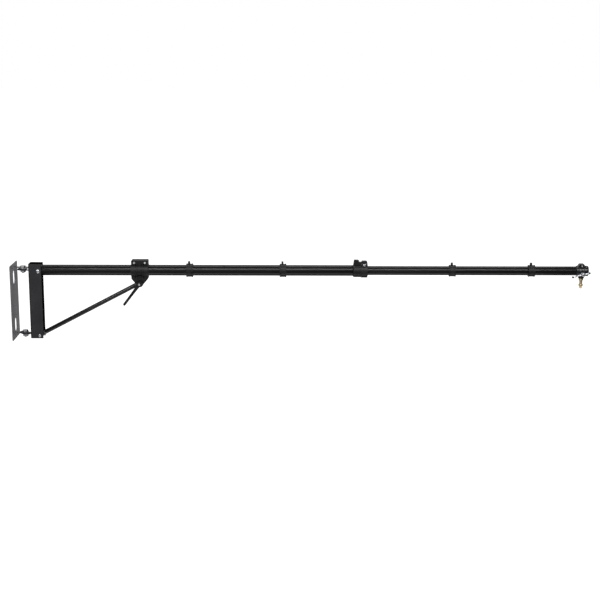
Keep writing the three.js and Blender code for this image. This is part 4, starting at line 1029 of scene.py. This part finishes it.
class BOOMARM_OT_strut_clamp(BuildPiece, bpy.types.Operator):
    """Builds the clamp's two moulded shells, its liner, screws, nuts and pivot bolt"""
    bl_idname = "boom_arm.strut_clamp"
    bl_label = "Strut Clamp"

    def build(self, shape):
        body = self.body()
        span = 0.1
        for node, side in (("clamp_front_shell", -1), ("clamp_rear_shell", 1)):
            near, far = sorted((side * 0.5 * MM, side * span))
            keep = block((CLAMP_X - span, near, -span), (CLAMP_X + span, far, 3 * span))
            shell = carve(body.copy(), (KEEP, keep))
            piece(f"{node}_moulded", shell, [node], "moulded_black", soften=0.5 * MM)
        liner = low("clamp_liner")
        length = 2 * reach("clamp_liner").x
        slit = block((liner.x - MM, -1.5 * MM, BOOM_AXIS.z),
                     (liner.x + length + MM, 1.5 * MM, BOOM_AXIS.z + 0.03))
        piece("clamp_liner_sleeve", carve(
            ring(reach("clamp_liner").y, OUTER_RADIUS + GAP, 0, length, on_boom(liner.x), FINE),
            (CUT, slit)), ["clamp_liner"], "nylon", soften=0.3 * MM)
        self.screws()
        self.pivot(shape)

    def body(self):
        """The whole clamp in one, before it is split into its two shells."""
        half = reach("clamp_front_shell").x
        depth = CLAMP_DEPTH / 2
        length_way = on_boom(CLAMP_X)
        side_way = along(Y_AXIS, length_way.translation)
        drop = BOOM_AXIS.z - PIVOT.z
        top = high("clamp_front_shell").z - BOOM_AXIS.z
        floor = low("clamp_front_shell").z - BOOM_AXIS.z
        lug = -floor - drop
        barrel = CLAMP_RADIUS
        ease = 2 * MM
        outline = [(top, half - ease), (top - ease, half), (-barrel - 2.5 * MM, half)]
        outline += arc((-drop, 0), lug, 120, 240, 24)
        outline += [(-barrel - 2.5 * MM, -half), (top - ease, -half), (top, ease - half)]
        steps = [
            (ADD, block((CLAMP_X - half, -depth, BOOM_AXIS.z + floor),
                            (CLAMP_X + half, depth, BOOM_AXIS.z + top))),
        ]
        for side in (-1, 1):
            x = side * 10.5 * MM
            steps.append((ADD, rod(barrel + 1.2 * MM, x - 2 * MM, x + 2 * MM,
                                       length_way, FINE)))
            for flank in (-3.4 * MM, 3.4 * MM):
                steps.append((CUT, ring(
                    barrel + 5 * MM, barrel - 1.8 * MM, x + flank - 1.3 * MM,
                    x + flank + 1.3 * MM, length_way, FINE)))
            steps += [(ADD, rib) for rib in both_sides(
                self.rib(side, barrel), 0.8 * depth, depth + 1.2 * MM, side_way)]
        steps.append((KEEP, prism(outline, -2 * barrel, 2 * barrel, side_way)))
        steps.append((CUT, rod(21 * MM, -2 * half, 2 * half, length_way, FINE)))
        fork = STRUT_RADIUS + 2 * GAP
        steps.append((CUT, block(
            (CLAMP_X - 2 * half, -fork, PIVOT.z - THROUGH),
            (CLAMP_X + 2 * half, fork, PIVOT.z + 12 * MM))))
        steps.append((CUT, rod(M8_BORE, -THROUGH, THROUGH, along(Y_AXIS, PIVOT))))
        for node in ("clamp_screw_left", "clamp_screw_right"):
            way = along(-Y_AXIS, spot(node, y=0))
            steps.append((CUT, rod(M5_BORE, -THROUGH, THROUGH, way)))
            steps.append((CUT, rod(6.2 * MM, depth - 3 * MM, THROUGH, way)))
        steps += self.pockets(depth, side_way, top, half)
        return carve(rod(barrel, -half, half, length_way, FINE), *steps)

    def rib(self, side, barrel):
        """The outline of a raised rib that leans in from under the barrel to the lug."""
        outer, inner = side * 10.5 * MM, side * 8.5 * MM
        upper, lower = 10 * MM - barrel, -barrel - 5.5 * MM
        width = 2 * MM
        return [(upper, outer - width), (upper, outer + width),
                (lower, inner + width), (lower, inner - width)]

    def pockets(self, depth, place, top, half):
        """Core-outs that keep the moulding's walls even, front and rear."""
        screw = middle("clamp_screw_left").z - BOOM_AXIS.z
        shapes = [
            [(screw - 4 * MM, -6 * MM), (screw - 4 * MM, 6 * MM),
             (top - 4 * MM, 6 * MM), (top - 4 * MM, -6 * MM)],
            [(-CLAMP_RADIUS + 1.5 * MM, -5 * MM), (-CLAMP_RADIUS + 1.5 * MM, 5 * MM),
             (-CLAMP_RADIUS - 4.5 * MM, 4 * MM), (-CLAMP_RADIUS - 4.5 * MM, -4 * MM)],
        ]
        for side in (-1, 1):
            low_edge, high_edge = sorted((side * 15.5 * MM, side * (half - 2.5 * MM)))
            shapes.append([
                (screw - 10.5 * MM, low_edge), (screw - 10.5 * MM, high_edge),
                (screw - 7.5 * MM, high_edge), (screw - 7.5 * MM, low_edge)])
            shapes.append([
                (8 * MM - CLAMP_RADIUS, low_edge), (8 * MM - CLAMP_RADIUS, high_edge),
                (-CLAMP_RADIUS - MM, high_edge), (-CLAMP_RADIUS - MM, low_edge)])
        return [(CUT, tool) for outline in shapes
                for tool in both_sides(outline, depth - 2.2 * MM, 2 * depth, place)]

    def screws(self):
        """Two alike screws and their nuts, each set as one row."""
        left, right = middle("clamp_screw_left"), middle("clamp_screw_right")
        row = fastener_row_tree()
        seat = low("clamp_screw_left").y + 3 * MM
        screw = cap_screw(along(-Y_AXIS, Vector((0, seat, 0))), 4.2 * MM, 3 * MM, 1.8 * MM,
                          high("clamp_screw_left").y - seat, 14 * MM)
        nut = hex_nut(along(Y_AXIS, Vector((0, low("clamp_nut_left").y, 0))), 8 * MM,
                      2 * reach("clamp_nut_left").y, M5_BORE)
        at = Matrix.Translation((left.x, 0, left.z))
        for name, mesh, kind in (("clamp_cap_screws", screw, "screw"),
                                 ("clamp_hex_nuts", nut, "nut")):
            source = holder_of(mesh)
            made = grown(row, at, finish("zinc_plate"), Fastener=source, Count=2,
                         Step=(right.x - left.x, 0, 0))
            bpy.data.objects.remove(source)
            piece(name, made, [f"clamp_{kind}_left", f"clamp_{kind}_right"], "zinc_plate",
                  soften=0.12 * MM)

    def pivot(self, shape):
        seat = spot("clamp_bolt", y=CLAMP_DEPTH / 2 + GAP)
        piece("clamp_hex_bolt", hex_bolt(
            along(Y_AXIS, seat), 4 * MM, 13 * MM, high("clamp_bolt").y - seat.y,
            seat.y - low("clamp_bolt").y, shape.pivot_pitch), ["clamp_bolt"], "zinc_plate",
            soften=0.12 * MM)
        ring_piece("clamp_steel_washer", "clamp_washer", Y_AXIS, M8_BORE, "zinc_plate",
                   0.2 * MM)


class BOOMARM_OT_ratchet_lever(BuildPiece, bpy.types.Operator):
    """Builds the ratchet lever with its serrated hub and its release screw"""
    bl_idname = "boom_arm.ratchet_lever"
    bl_label = "Ratchet Lever"

    def build(self, shape):
        front, rear = low("ratchet_lever").y, high("ratchet_lever").y
        place = along(-Y_AXIS, Vector((PIVOT.x, rear, PIVOT.z)))
        height = rear - front
        hub = lathe([
            (0, 0), (12.5 * MM, 0), (12.5 * MM, 4 * MM), (11.6 * MM, 7 * MM),
            (10.4 * MM, 12 * MM), (9.7 * MM, 16 * MM), (9.5 * MM, height - 1.2 * MM),
            (8.4 * MM, height), (0, height)], place, FINE)
        lean = math.radians(LEVER_LEAN)
        direction = Vector((-math.cos(lean), 0, -math.sin(lean)))
        root, tip = 6.5 * MM, 4.5 * MM
        length = (PIVOT.z - low("ratchet_lever").z - tip) / math.sin(lean) + tip
        side = along(-Y_AXIS, PIVOT, direction)
        waist = [(length * t, root + (tip - root) * t - 0.6 * MM * math.sin(math.pi * t))
                 for t in (i / 12 for i in range(1, 12))]
        end = arc((length - tip, 0), tip, 88, -88, 16)
        outline = [(0, root)] + waist[:-1] + end
        outline += [(u, -v) for u, v in reversed(waist[:-1])] + [(0, -root)]
        arm = prism(outline, -front - 8 * MM, -front - 0.5 * MM, side)
        dish = [(u, v * 0.5) for u, v in waist[2:-1]]
        dish += [(u, -v * 0.5) for u, v in reversed(waist[2:-1])]
        lever = carve(
            hub, (ADD, arm),
            (CUT, prism(dish, -front - 1.2 * MM, THROUGH, side)),
            (CUT, prism(dish, 0, -front - 6.2 * MM, side)),
            (CUT, rod(M8_BORE, -MM, 15 * MM, place)),
            (CUT, rod(M8_BORE, height - MM, height + MM, place)))
        piece("ratchet_lever_moulded", lever, ["ratchet_lever"], "moulded_black",
              soften=0.9 * MM, steps=3)
        teeth = grown(ridge_ring_tree(), place @ Matrix.Translation((0, 0, 2.2 * MM)),
                      finish("moulded_black"), Count=shape.teeth + 1, Radius=12.4 * MM,
                      Start=0.0, Sweep=math.tau,
                      Ridge=Vector((0.9 * MM, 1.1 * MM, 3.4 * MM)))
        piece("ratchet_lever_serrations", teeth, [], "moulded_black",
              body=body_of("ratchet_lever"))
        foot = Vector((PIVOT.x, high("lever_screw").y, PIVOT.z))
        piece("lever_release_screw", socket_head(
            along(-Y_AXIS, foot), 4 * MM, 2 * reach("lever_screw").y, 4 * MM, 1.2 * MM),
            ["lever_screw"], "zinc_plate", soften=0.1 * MM)


class BOOMARM_OT_cable_clips(BuildPiece, bpy.types.Operator):
    """Builds the four snap-on cable clips"""
    bl_idname = "boom_arm.cable_clips"
    bl_label = "Cable Clips"

    def build(self, shape):
        for number in (1, 2, 3, 4):
            node = f"cable_clip_{number}"
            bore = (OUTER_RADIUS if number < 3 else INNER_RADIUS) + GAP
            piece(f"{node}_snap", self.clip(node, bore), [node], "moulded_black",
                  soften=0.35 * MM)

    def clip(self, node, bore):
        half = reach(node).x
        start = low(node).x
        wall, rib, ribbed = 3.8 * MM, MM, 4 * MM
        outer = bore + wall
        place = on_boom(start)
        body = lathe([
            (bore, 0), (outer + rib, 0), (outer + rib, ribbed - rib), (outer, ribbed),
            (outer, 2 * half - ribbed), (outer + rib, 2 * half - ribbed + rib),
            (outer + rib, 2 * half), (bore, 2 * half)], place, FINE)
        top = outer + rib + 8 * MM
        width = 6 * MM
        round_off = 3 * MM
        root = bore + wall / 3
        outline = [(-width, root), (width, root)]
        outline += arc((width - round_off, top - round_off), round_off, 0, 90, 8)
        outline += arc((round_off - width, top - round_off), round_off, 90, 180, 8)
        tab_start = start + half - 5.5 * MM
        tab = prism(outline, 0, 7 * MM, on_boom(tab_start))
        eye = rod(1.8 * MM, -MM, 8 * MM, along(
            X_AXIS, Vector((tab_start, 0, BOOM_AXIS.z + top - 4 * MM))), SMALL)
        slit = block((start - MM, 0, BOOM_AXIS.z - MM),
                     (start + 2 * half + MM, 2 * outer, BOOM_AXIS.z + MM))
        window = block((start + ribbed + 2.5 * MM, -outer - 2 * MM, BOOM_AXIS.z - 4 * MM),
                       (start + 2 * half - ribbed - 2.5 * MM, -bore - 1.8 * MM,
                        BOOM_AXIS.z + 4 * MM))
        cleared = carve(tab, (CUT, rod(bore + 0.1 * MM, -half, 3 * half, place, FINE)))
        return carve(body, (ADD, cleared), (CUT, eye), (CUT, slit), (CUT, window))


class BOOMARM_OT_lock_collar(BuildPiece, bpy.types.Operator):
    """Builds the split lock collar, its hinge pin, screw, nut and sliding bush"""
    bl_idname = "boom_arm.lock_collar"
    bl_label = "Lock Collar"

    def build(self, shape):
        start = low("lock_collar").x
        length = 2 * reach("lock_collar").x
        radius = reach("lock_collar").y
        top = high("lock_collar").z - BOOM_AXIS.z
        bolt = middle("lock_bolt")
        lengthwise = on_boom(start)
        sideways = along(Y_AXIS, lengthwise.translation)
        bore = OUTER_RADIUS + GAP
        chamfer = 3 * MM
        barrel = lathe([
            (bore, 0), (radius - chamfer, 0), (radius - 0.8 * MM, chamfer * 0.7),
            (radius, chamfer * 1.4), (radius, length - chamfer * 1.4),
            (radius - 0.8 * MM, length - chamfer * 0.7), (radius - chamfer, length),
            (bore, length)], lengthwise, FINE)
        saddle, ear = top - 7.5 * MM, top - 4 * MM
        tower_end, ear_start = 22 * MM, 31 * MM
        tower = prism(
            [(bore, 1.5 * MM)] + arc((top - 3 * MM, 6.2 * MM), 3 * MM, -100, 0, 6)
            + arc((top - 3 * MM, tower_end - 4 * MM), 3 * MM, 0, 80, 6)
            + [(saddle, tower_end + MM), (saddle, ear_start + MM), (bore, ear_start + MM)],
            -9 * MM, 9 * MM, sideways)
        ears = prism([
            (bore - 4 * MM, ear_start), (ear, ear_start), (ear, length - 3 * MM),
            (ear - 3 * MM, length), (bore - 4 * MM, length)],
            -12.5 * MM, 12.5 * MM, sideways)
        bolt_way = along(Y_AXIS, spot("lock_bolt", y=0))
        slit = block((bolt.x - 13 * MM, -1.25 * MM, BOOM_AXIS.z),
                     (start + length + MM, 1.25 * MM, BOOM_AXIS.z + 2 * top))
        steps = [(ADD, tower), (ADD, ears),
                 (CUT, rod(bore, -MM, length + MM, lengthwise, FINE)),
                 (CUT, slit),
                 (CUT, rod(M5_BORE, -radius, radius, bolt_way)),
                 (CUT, rod(4.4 * MM + GAP, 12.5 * MM, 2 * radius, bolt_way)),
                 (CUT, ring(6.4 * MM, 4.9 * MM, -2 * radius, -11 * MM, bolt_way))]
        steps += [(CUT, pocket) for pocket in both_sides([
            (radius + 1.5 * MM, 7 * MM), (top - 4 * MM, 7.5 * MM),
            (top - 4 * MM, 16.5 * MM), (radius + 1.5 * MM, 17.5 * MM)],
            6.6 * MM, 12 * MM, sideways)]
        for offset in (7.5 * MM, 12 * MM, 16.5 * MM):
            steps.append((CUT, ring(
                radius + MM, radius - 0.7 * MM, offset, offset + 1.2 * MM,
                lengthwise, FINE)))
        piece("lock_collar_moulded", carve(barrel, *steps), ["lock_collar"],
              "moulded_black", soften=0.45 * MM)
        self.hinge(bolt_way)
        bush = low("sliding_bush")
        long = 2 * reach("sliding_bush").x
        outer = reach("sliding_bush").y
        inner = INNER_RADIUS + GAP
        sleeve = lathe([(inner, 0), (outer, 0), (outer, long - 0.8 * MM),
                        (outer - 0.8 * MM, long), (inner + 0.6 * MM, long),
                        (inner, long - 0.6 * MM)], on_boom(bush.x), FINE)
        cut = block((bush.x - MM, -1.25 * MM, BOOM_AXIS.z),
                    (bush.x + long + MM, 1.25 * MM, BOOM_AXIS.z + 2 * outer))
        piece("sliding_bush_split", carve(sleeve, (CUT, cut)), ["sliding_bush"],
              "nylon", soften=0.2 * MM)

    def hinge(self, bolt_way):
        half, radius = reach("lock_pin").x, reach("lock_pin").y
        pin_mesh = carve(
            eased_rod(radius, -half, half, 0.6 * MM, along(X_AXIS, middle("lock_pin"), Y_AXIS)),
            (CUT, rod(M5_BORE, -THROUGH, 0, bolt_way)))
        piece("lock_hinge_pin", pin_mesh, ["lock_pin"], "zinc_plate")
        head = 4 * MM
        seat = spot("lock_bolt", y=high("lock_bolt").y - head)
        piece("lock_cap_screw", cap_screw(
            along(Y_AXIS, seat), 4.4 * MM, head, 2.2 * MM, seat.y - low("lock_bolt").y,
            10 * MM), ["lock_bolt"], "zinc_plate")
        ring_piece("lock_round_nut", "lock_nut", Y_AXIS, M5_BORE, "zinc_plate", 0.3 * MM,
                   ROUND)


class BOOMARM_OT_lock_lever(BuildPiece, bpy.types.Operator):
    """Builds the curved cam lever with the ribs on its thumb end"""
    bl_idname = "boom_arm.lock_lever"
    bl_label = "Lock Lever"

    def build(self, shape):
        start, end = low("lock_lever").x, high("lock_lever").x
        pin = middle("lock_pin")
        across, up = pin.y, pin.z - BOOM_AXIS.z
        inner = reach("lock_collar").y + 0.8 * MM
        outer = inner + 3.6 * MM
        rise = math.degrees(math.atan2(up, -across)) * 0.9
        place = on_boom(0)
        outline = arc((0, 0), outer, 180 - rise, 180 + LEVER_DROP, 32)
        outline += arc((0, 0), inner, 180 + LEVER_DROP, 180 - rise, 32)
        shell = prism(outline, start, end, place)
        pin_way = along(X_AXIS, Vector((0, pin.y, pin.z)), Y_AXIS)
        bolt_x = middle("lock_bolt").x
        half_notch = 3.8 * MM + 2 * GAP
        nut_reach = math.hypot(7.9 * MM, 3.8 * MM) + GAP
        lever = carve(
            shell, (ADD, rod(6.2 * MM, start, end, pin_way, FINE)),
            (CUT, rod(3.6 * MM + GAP, start - MM, end + MM, pin_way)),
            (CUT, rod(nut_reach, bolt_x - half_notch, bolt_x + half_notch,
                               pin_way, FINE)))
        piece("lock_lever_moulded", lever, ["lock_lever"], "moulded_black",
              soften=0.6 * MM, steps=3)
        sweep = math.radians(18)
        ribs = grown(ridge_ring_tree(), place @ Matrix.Translation((0, 0, (start + end) / 2)),
                     finish("moulded_black"), Count=shape.grips, Radius=outer,
                     Start=math.pi + math.radians(LEVER_DROP) - sweep - 0.06, Sweep=sweep,
                     Ridge=Vector((MM, 0.8 * MM, end - start - 3 * MM)))
        piece("lock_lever_grip", ribs, [], "moulded_black", body=body_of("lock_lever"))


class BOOMARM_OT_head(BuildPiece, bpy.types.Operator):
    """Builds the die-cast head at the far end and the screw that holds it"""
    bl_idname = "boom_arm.head"
    bl_label = "Head Casting"

    def build(self, shape):
        stud = middle("spigot")
        lengthwise = on_boom(stud.x)
        origin = lengthwise.translation
        sideways = along(Y_AXIS, origin)
        upright = along(Z_AXIS, origin)
        right = high("head_casting").x - stud.x
        left = right - HEAD_LENGTH
        radius = HEAD_RADIUS
        top = high("head_casting").z - BOOM_AXIS.z
        barrel = lathe([
            (0, left), (radius - 1.5 * MM, left), (radius, left + 1.5 * MM),
            (radius, right - 3 * MM), (radius - MM, right - MM), (radius - 3 * MM, right),
            (radius - 6 * MM, right), (radius - 7 * MM, right - 1.2 * MM),
            (0, right - 1.2 * MM)], lengthwise, FINE)
        half = 7.5 * MM
        run = half + 6 * MM
        bump = prism([
            (0, -run), (radius - 2 * MM, -run), (top - 0.8 * MM, -half - 0.4 * MM),
            (top, 0.8 * MM - half), (top, half - 0.8 * MM),
            (top - 0.8 * MM, half + 0.4 * MM), (radius - 2 * MM, run), (0, run)],
            -11 * MM, 11 * MM, sideways)
        boss_drop = BOOM_AXIS.z - low("head_casting").z
        socket_end = left + 8 * MM + GAP
        tail_end = low("head_casting").x - stud.x
        stud_radius = reach("spigot").x + GAP
        stud_top = high("spigot").z - BOOM_AXIS.z + GAP
        front_reach = -low("head_casting").y
        front = along(-Y_AXIS, Vector((stud.x, 0, middle("locking_screw").z)))
        screw_way = along(-Y_AXIS, spot("head_screw", y=0))
        boss = lathe([
            (0, 0), (stud_radius + 2.2 * MM, 0), (stud_radius + 2.2 * MM, boss_drop - MM),
            (stud_radius + 1.2 * MM, boss_drop), (0, boss_drop)],
            along(-Z_AXIS, origin), FINE)
        steps = [
            (ADD, bump),
            (ADD, boss),
            (ADD, rod(8 * MM, radius / 2, front_reach, front, FINE)),
            (CUT, rod(INNER_RADIUS + GAP, left - MM, socket_end, lengthwise, FINE)),
            (ADD, lathe([
                (0, tail_end), (INNER_RADIUS - 2.9 * MM, tail_end),
                (INNER_RADIUS - 1.9 * MM, tail_end + MM),
                (INNER_RADIUS - 1.9 * MM, socket_end + MM), (0, socket_end + MM)],
                lengthwise, FINE)),
            (CUT, rod(stud_radius, -2 * THROUGH, stud_top, upright, FINE)),
            (CUT, rod(M8_BORE, 0, THROUGH, front)),
            (CUT, rod(2 * MM + GAP, -7.3 * MM, 30 * MM, screw_way)),
        ]
        steps += [(CUT, pocket) for pocket in both_sides([
            (radius + 0.4 * MM, -half - 1.4 * MM), (top - 2 * MM, -half + MM),
            (top - 2 * MM, -3.9 * MM), (radius + 0.4 * MM, -3.9 * MM)],
            9.6 * MM, 20 * MM, sideways)]
        seam = ring(radius + 0.25 * MM, radius - MM, socket_end + 2 * MM,
                    socket_end + 3.2 * MM, lengthwise, FINE)
        steps.append((CUT, ring(
            radius + MM, radius - 0.5 * MM, right - 7 * MM, right - 6 * MM,
            lengthwise, FINE)))
        steps.append((ADD, seam))
        piece("head_die_casting", carve(barrel, *steps), ["head_casting"], "cast_black",
              soften=0.5 * MM)
        seat = spot("head_screw", y=low("head_screw").y + 2.5 * MM)
        way = along(-Y_AXIS, seat)
        cap = carve(socket_head(way, 3.2 * MM, 2.5 * MM, 2.5 * MM, 1.4 * MM),
                    (ADD, rod(2 * MM, seat.y - high("head_screw").y, 0.1 * MM, way, SMALL)))
        piece("head_cap_screw", cap, ["head_screw"], "zinc_plate", soften=0.1 * MM)


class BOOMARM_OT_spigot(BuildPiece, bpy.types.Operator):
    """Builds the brass spigot, the locking screw and its sliding cross bar"""
    bl_idname = "boom_arm.spigot"
    bl_label = "Spigot"

    def build(self, shape):
        place = along(Z_AXIS, spot("spigot", y=0, z=low("spigot").z))
        radius = reach("spigot").x
        waist = 5.5 * MM
        thread = 9.5 * MM
        flange = thread + 5 * MM
        neck = flange + 15 * MM
        height = 2 * reach("spigot").z
        ease = 0.7 * MM
        stud = lathe([
            (0, thread - MM), (3.7 * MM, thread - MM), (3.7 * MM, thread),
            (radius - ease, thread), (radius, thread + ease), (radius, flange - ease),
            (radius - ease, flange), (waist + 0.6 * MM, flange), (waist, flange + MM),
            (waist, neck - MM), (waist + 0.6 * MM, neck), (radius - ease, neck),
            (radius, neck + ease), (radius, neck + 3 * MM), (radius - 0.3 * MM, neck + 3.4 * MM),
            (radius, neck + 3.8 * MM), (radius, height - 1.2 * MM),
            (radius - 1.2 * MM, height), (0, height)], place, FINE)
        piece("spigot_turned", joined(stud, threaded(
            place, 4.76 * MM, shape.spigot_pitch, thread, "spigot_brass")),
            ["spigot"], "spigot_brass")
        self.locking_screw(shape)
        self.cross_bar()

    def locking_screw(self, shape):
        place = along(-Y_AXIS, spot("locking_screw", x=middle("spigot").x,
                                    y=high("locking_screw").y))
        length = 2 * reach("locking_screw").y
        hub = length - 12 * MM
        radius = 6.5 * MM
        body = lathe([
            (0, hub - MM), (4 * MM, hub - MM), (4.6 * MM, hub), (radius - 0.8 * MM, hub),
            (radius, hub + 0.8 * MM), (radius, length - 2 * MM), (radius - 0.8 * MM,
            length - 0.8 * MM), (radius - 2.2 * MM, length), (0, length)], place, FINE)
        bar = rod(BAR_RADIUS + GAP, -THROUGH, THROUGH, self.bar_way())
        screw = joined(carve(body, (CUT, bar)),
                       threaded(place, 4 * MM, shape.pivot_pitch, hub))
        piece("locking_screw_turned", screw, ["locking_screw"], "zinc_plate")

    def bar_way(self):
        left, right = middle("tommy_cap_left"), middle("tommy_cap_right")
        direction = (right - left).normalized()
        hub = Vector((middle("spigot").x, left.y, middle("locking_screw").z))
        return along(direction, hub, Y_AXIS)

    def cross_bar(self):
        place = self.bar_way()
        back = place.inverted()
        caps = {node: (back @ middle(node)).z for node in ("tommy_cap_left", "tommy_cap_right")}
        half_cap = 2.5 * MM
        left, right = min(caps.values()) + half_cap + GAP, max(caps.values()) - half_cap - GAP
        piece("cross_bar_turned", eased_rod(BAR_RADIUS, left, right, 0.4 * MM, place),
              ["tommy_bar"], "zinc_plate")
        for node, at in caps.items():
            way = 1 if at > 0 else -1
            face, end = at - way * half_cap, at + way * half_cap
            profile = [(0, face), (3.5 * MM, face), (3.7 * MM, face + way * 0.3 * MM),
                       (3.7 * MM, end - way * 1.6 * MM)]
            for i in range(1, 6):
                turn = math.radians(90 * i / 5)
                profile.append((3.7 * MM * math.cos(turn) if i < 5 else 0,
                                end - way * 1.6 * MM * (1 - math.sin(turn))))
            piece(f"{node}_moulded", lathe(profile, place, ROUND), [node], "nylon")


class BOOMARM_OT_studio(bpy.types.Operator):
    """Sets the floor, the soft lights, the room and the camera"""
    bl_idname = "boom_arm.studio"
    bl_label = "Studio"
    bl_options = {"REGISTER", "UNDO"}

    def execute(self, context):
        studio = context.scene.boom_arm_studio
        lowest, highest = CAD_BOX
        centre = (lowest + highest) / 2
        self.room(context, studio)
        self.floor(lowest.z - studio.floor_drop)
        span = highest.x - lowest.x
        for name, offset, power, reach_out, depth in (
                ("Front strip", (0, -2.0, 1.55), studio.key, 2.2, 0.3),
                ("Overhead strip", (0, 0.45, 1.5), studio.top, 1.5, 0.3),
                ("Under panel", (0, -0.5, -1.3), studio.under, 1.5, 0.9),
                ("Front panel", (-0.6, -3.4, -0.1), studio.front, 1.5, 1.8)):
            self.strip(name, centre + Vector(offset), centre, power, span * reach_out, depth)
        self.camera(context)
        return {"FINISHED"}

    def room(self, context, studio):
        """The empty background is bright, and the arm mirrors it behind and a dim room in front."""
        world = bpy.data.worlds.new("Studio room")
        world.use_nodes = True
        tree = world.node_tree
        tree.nodes.clear()
        seen = add_node(tree, "ShaderNodeBackground",
                        {"Color": (*studio.backdrop, 1), "Strength": 1.0})
        aim = add_node(tree, "ShaderNodeSeparateXYZ", None, {
            "Vector": add_node(tree, "ShaderNodeTexCoord").outputs["Generated"]})
        depth = add_node(tree, "ShaderNodeMapRange", {
            "From Min": -0.1, "From Max": 0.7, "To Min": studio.room, "To Max": studio.back,
        }, {"Value": aim.outputs["Y"]}, interpolation_type="SMOOTHSTEP")
        mirrored_room = add_node(tree, "ShaderNodeBackground", {"Color": (1, 1, 1, 1)},
                                 {"Strength": depth.outputs["Result"]})
        ray = add_node(tree, "ShaderNodeLightPath")
        mix = add_node(tree, "ShaderNodeMixShader", None, {
            0: ray.outputs["Is Camera Ray"], 1: mirrored_room,
            2: seen})
        add_node(tree, "ShaderNodeOutputWorld", None, {"Surface": mix})
        context.scene.world = world
        context.scene.view_settings.view_transform = "Standard"

    def floor(self, height):
        floor = holder_of(block((-FLOOR_HALF, -FLOOR_HALF, height - 20 * MM),
                                (FLOOR_HALF, FLOOR_HALF, height)), "studio_floor")
        floor.data.materials.append(finish("floor"))
        floor.visible_glossy = False
        floor.visible_diffuse = False

    def strip(self, name, place, target, power, width, depth):
        light = bpy.data.lights.new(name, "AREA")
        light.shape = "RECTANGLE"
        light.size = width
        light.size_y = depth
        light.energy = power
        made = bpy.data.objects.new(name, light)
        bpy.context.scene.collection.objects.link(made)
        made.location = place
        made.rotation_euler = (target - place).to_track_quat("-Z", "Y").to_euler()
        made.visible_camera = False

    def camera(self, context):
        """A long lens straight across the arm, a little above it."""
        lens = bpy.data.cameras.new("Camera")
        lens.lens = CAMERA_LENS
        lens.clip_end = 200
        made = bpy.data.objects.new("Camera", lens)
        context.scene.collection.objects.link(made)
        made.location = CAMERA_PLACE
        made.rotation_euler = Euler((math.radians(CAMERA_PITCH), math.radians(CAMERA_ROLL), 0))
        context.scene.camera = made


# --- The add-on's panel and its order of work ---

STEPS = (
    BOOMARM_OT_wall_plate, BOOMARM_OT_post, BOOMARM_OT_tubes, BOOMARM_OT_strut,
    BOOMARM_OT_strut_clamp, BOOMARM_OT_ratchet_lever, BOOMARM_OT_cable_clips,
    BOOMARM_OT_lock_collar, BOOMARM_OT_lock_lever, BOOMARM_OT_head, BOOMARM_OT_spigot,
    BOOMARM_OT_studio,
)


class BOOMARM_PT_panel(bpy.types.Panel):
    bl_idname = "BOOMARM_PT_panel"
    bl_label = "Boom Arm"
    bl_space_type = "VIEW_3D"
    bl_region_type = "UI"
    bl_category = "Boom Arm"

    def draw(self, context):
        layout = self.layout
        for group in (context.scene.boom_arm, context.scene.boom_arm_studio):
            box = layout.box()
            for key in group.__annotations__:
                box.prop(group, key)
        for step in STEPS:
            layout.operator(step.bl_idname)


CLASSES = (BoomArmShape, BoomArmStudio, *STEPS, BOOMARM_PT_panel)


def register():
    for item in CLASSES:
        bpy.utils.register_class(item)
    bpy.types.Scene.boom_arm = bpy.props.PointerProperty(type=BoomArmShape)
    bpy.types.Scene.boom_arm_studio = bpy.props.PointerProperty(type=BoomArmStudio)


def unregister():
    del bpy.types.Scene.boom_arm_studio
    del bpy.types.Scene.boom_arm
    for item in reversed(CLASSES):
        bpy.utils.unregister_class(item)


def main():
    register()
    for step in STEPS:
        group, _, name = step.bl_idname.partition(".")
        getattr(getattr(bpy.ops, group), name)()


if __name__ == "__main__":
    main()
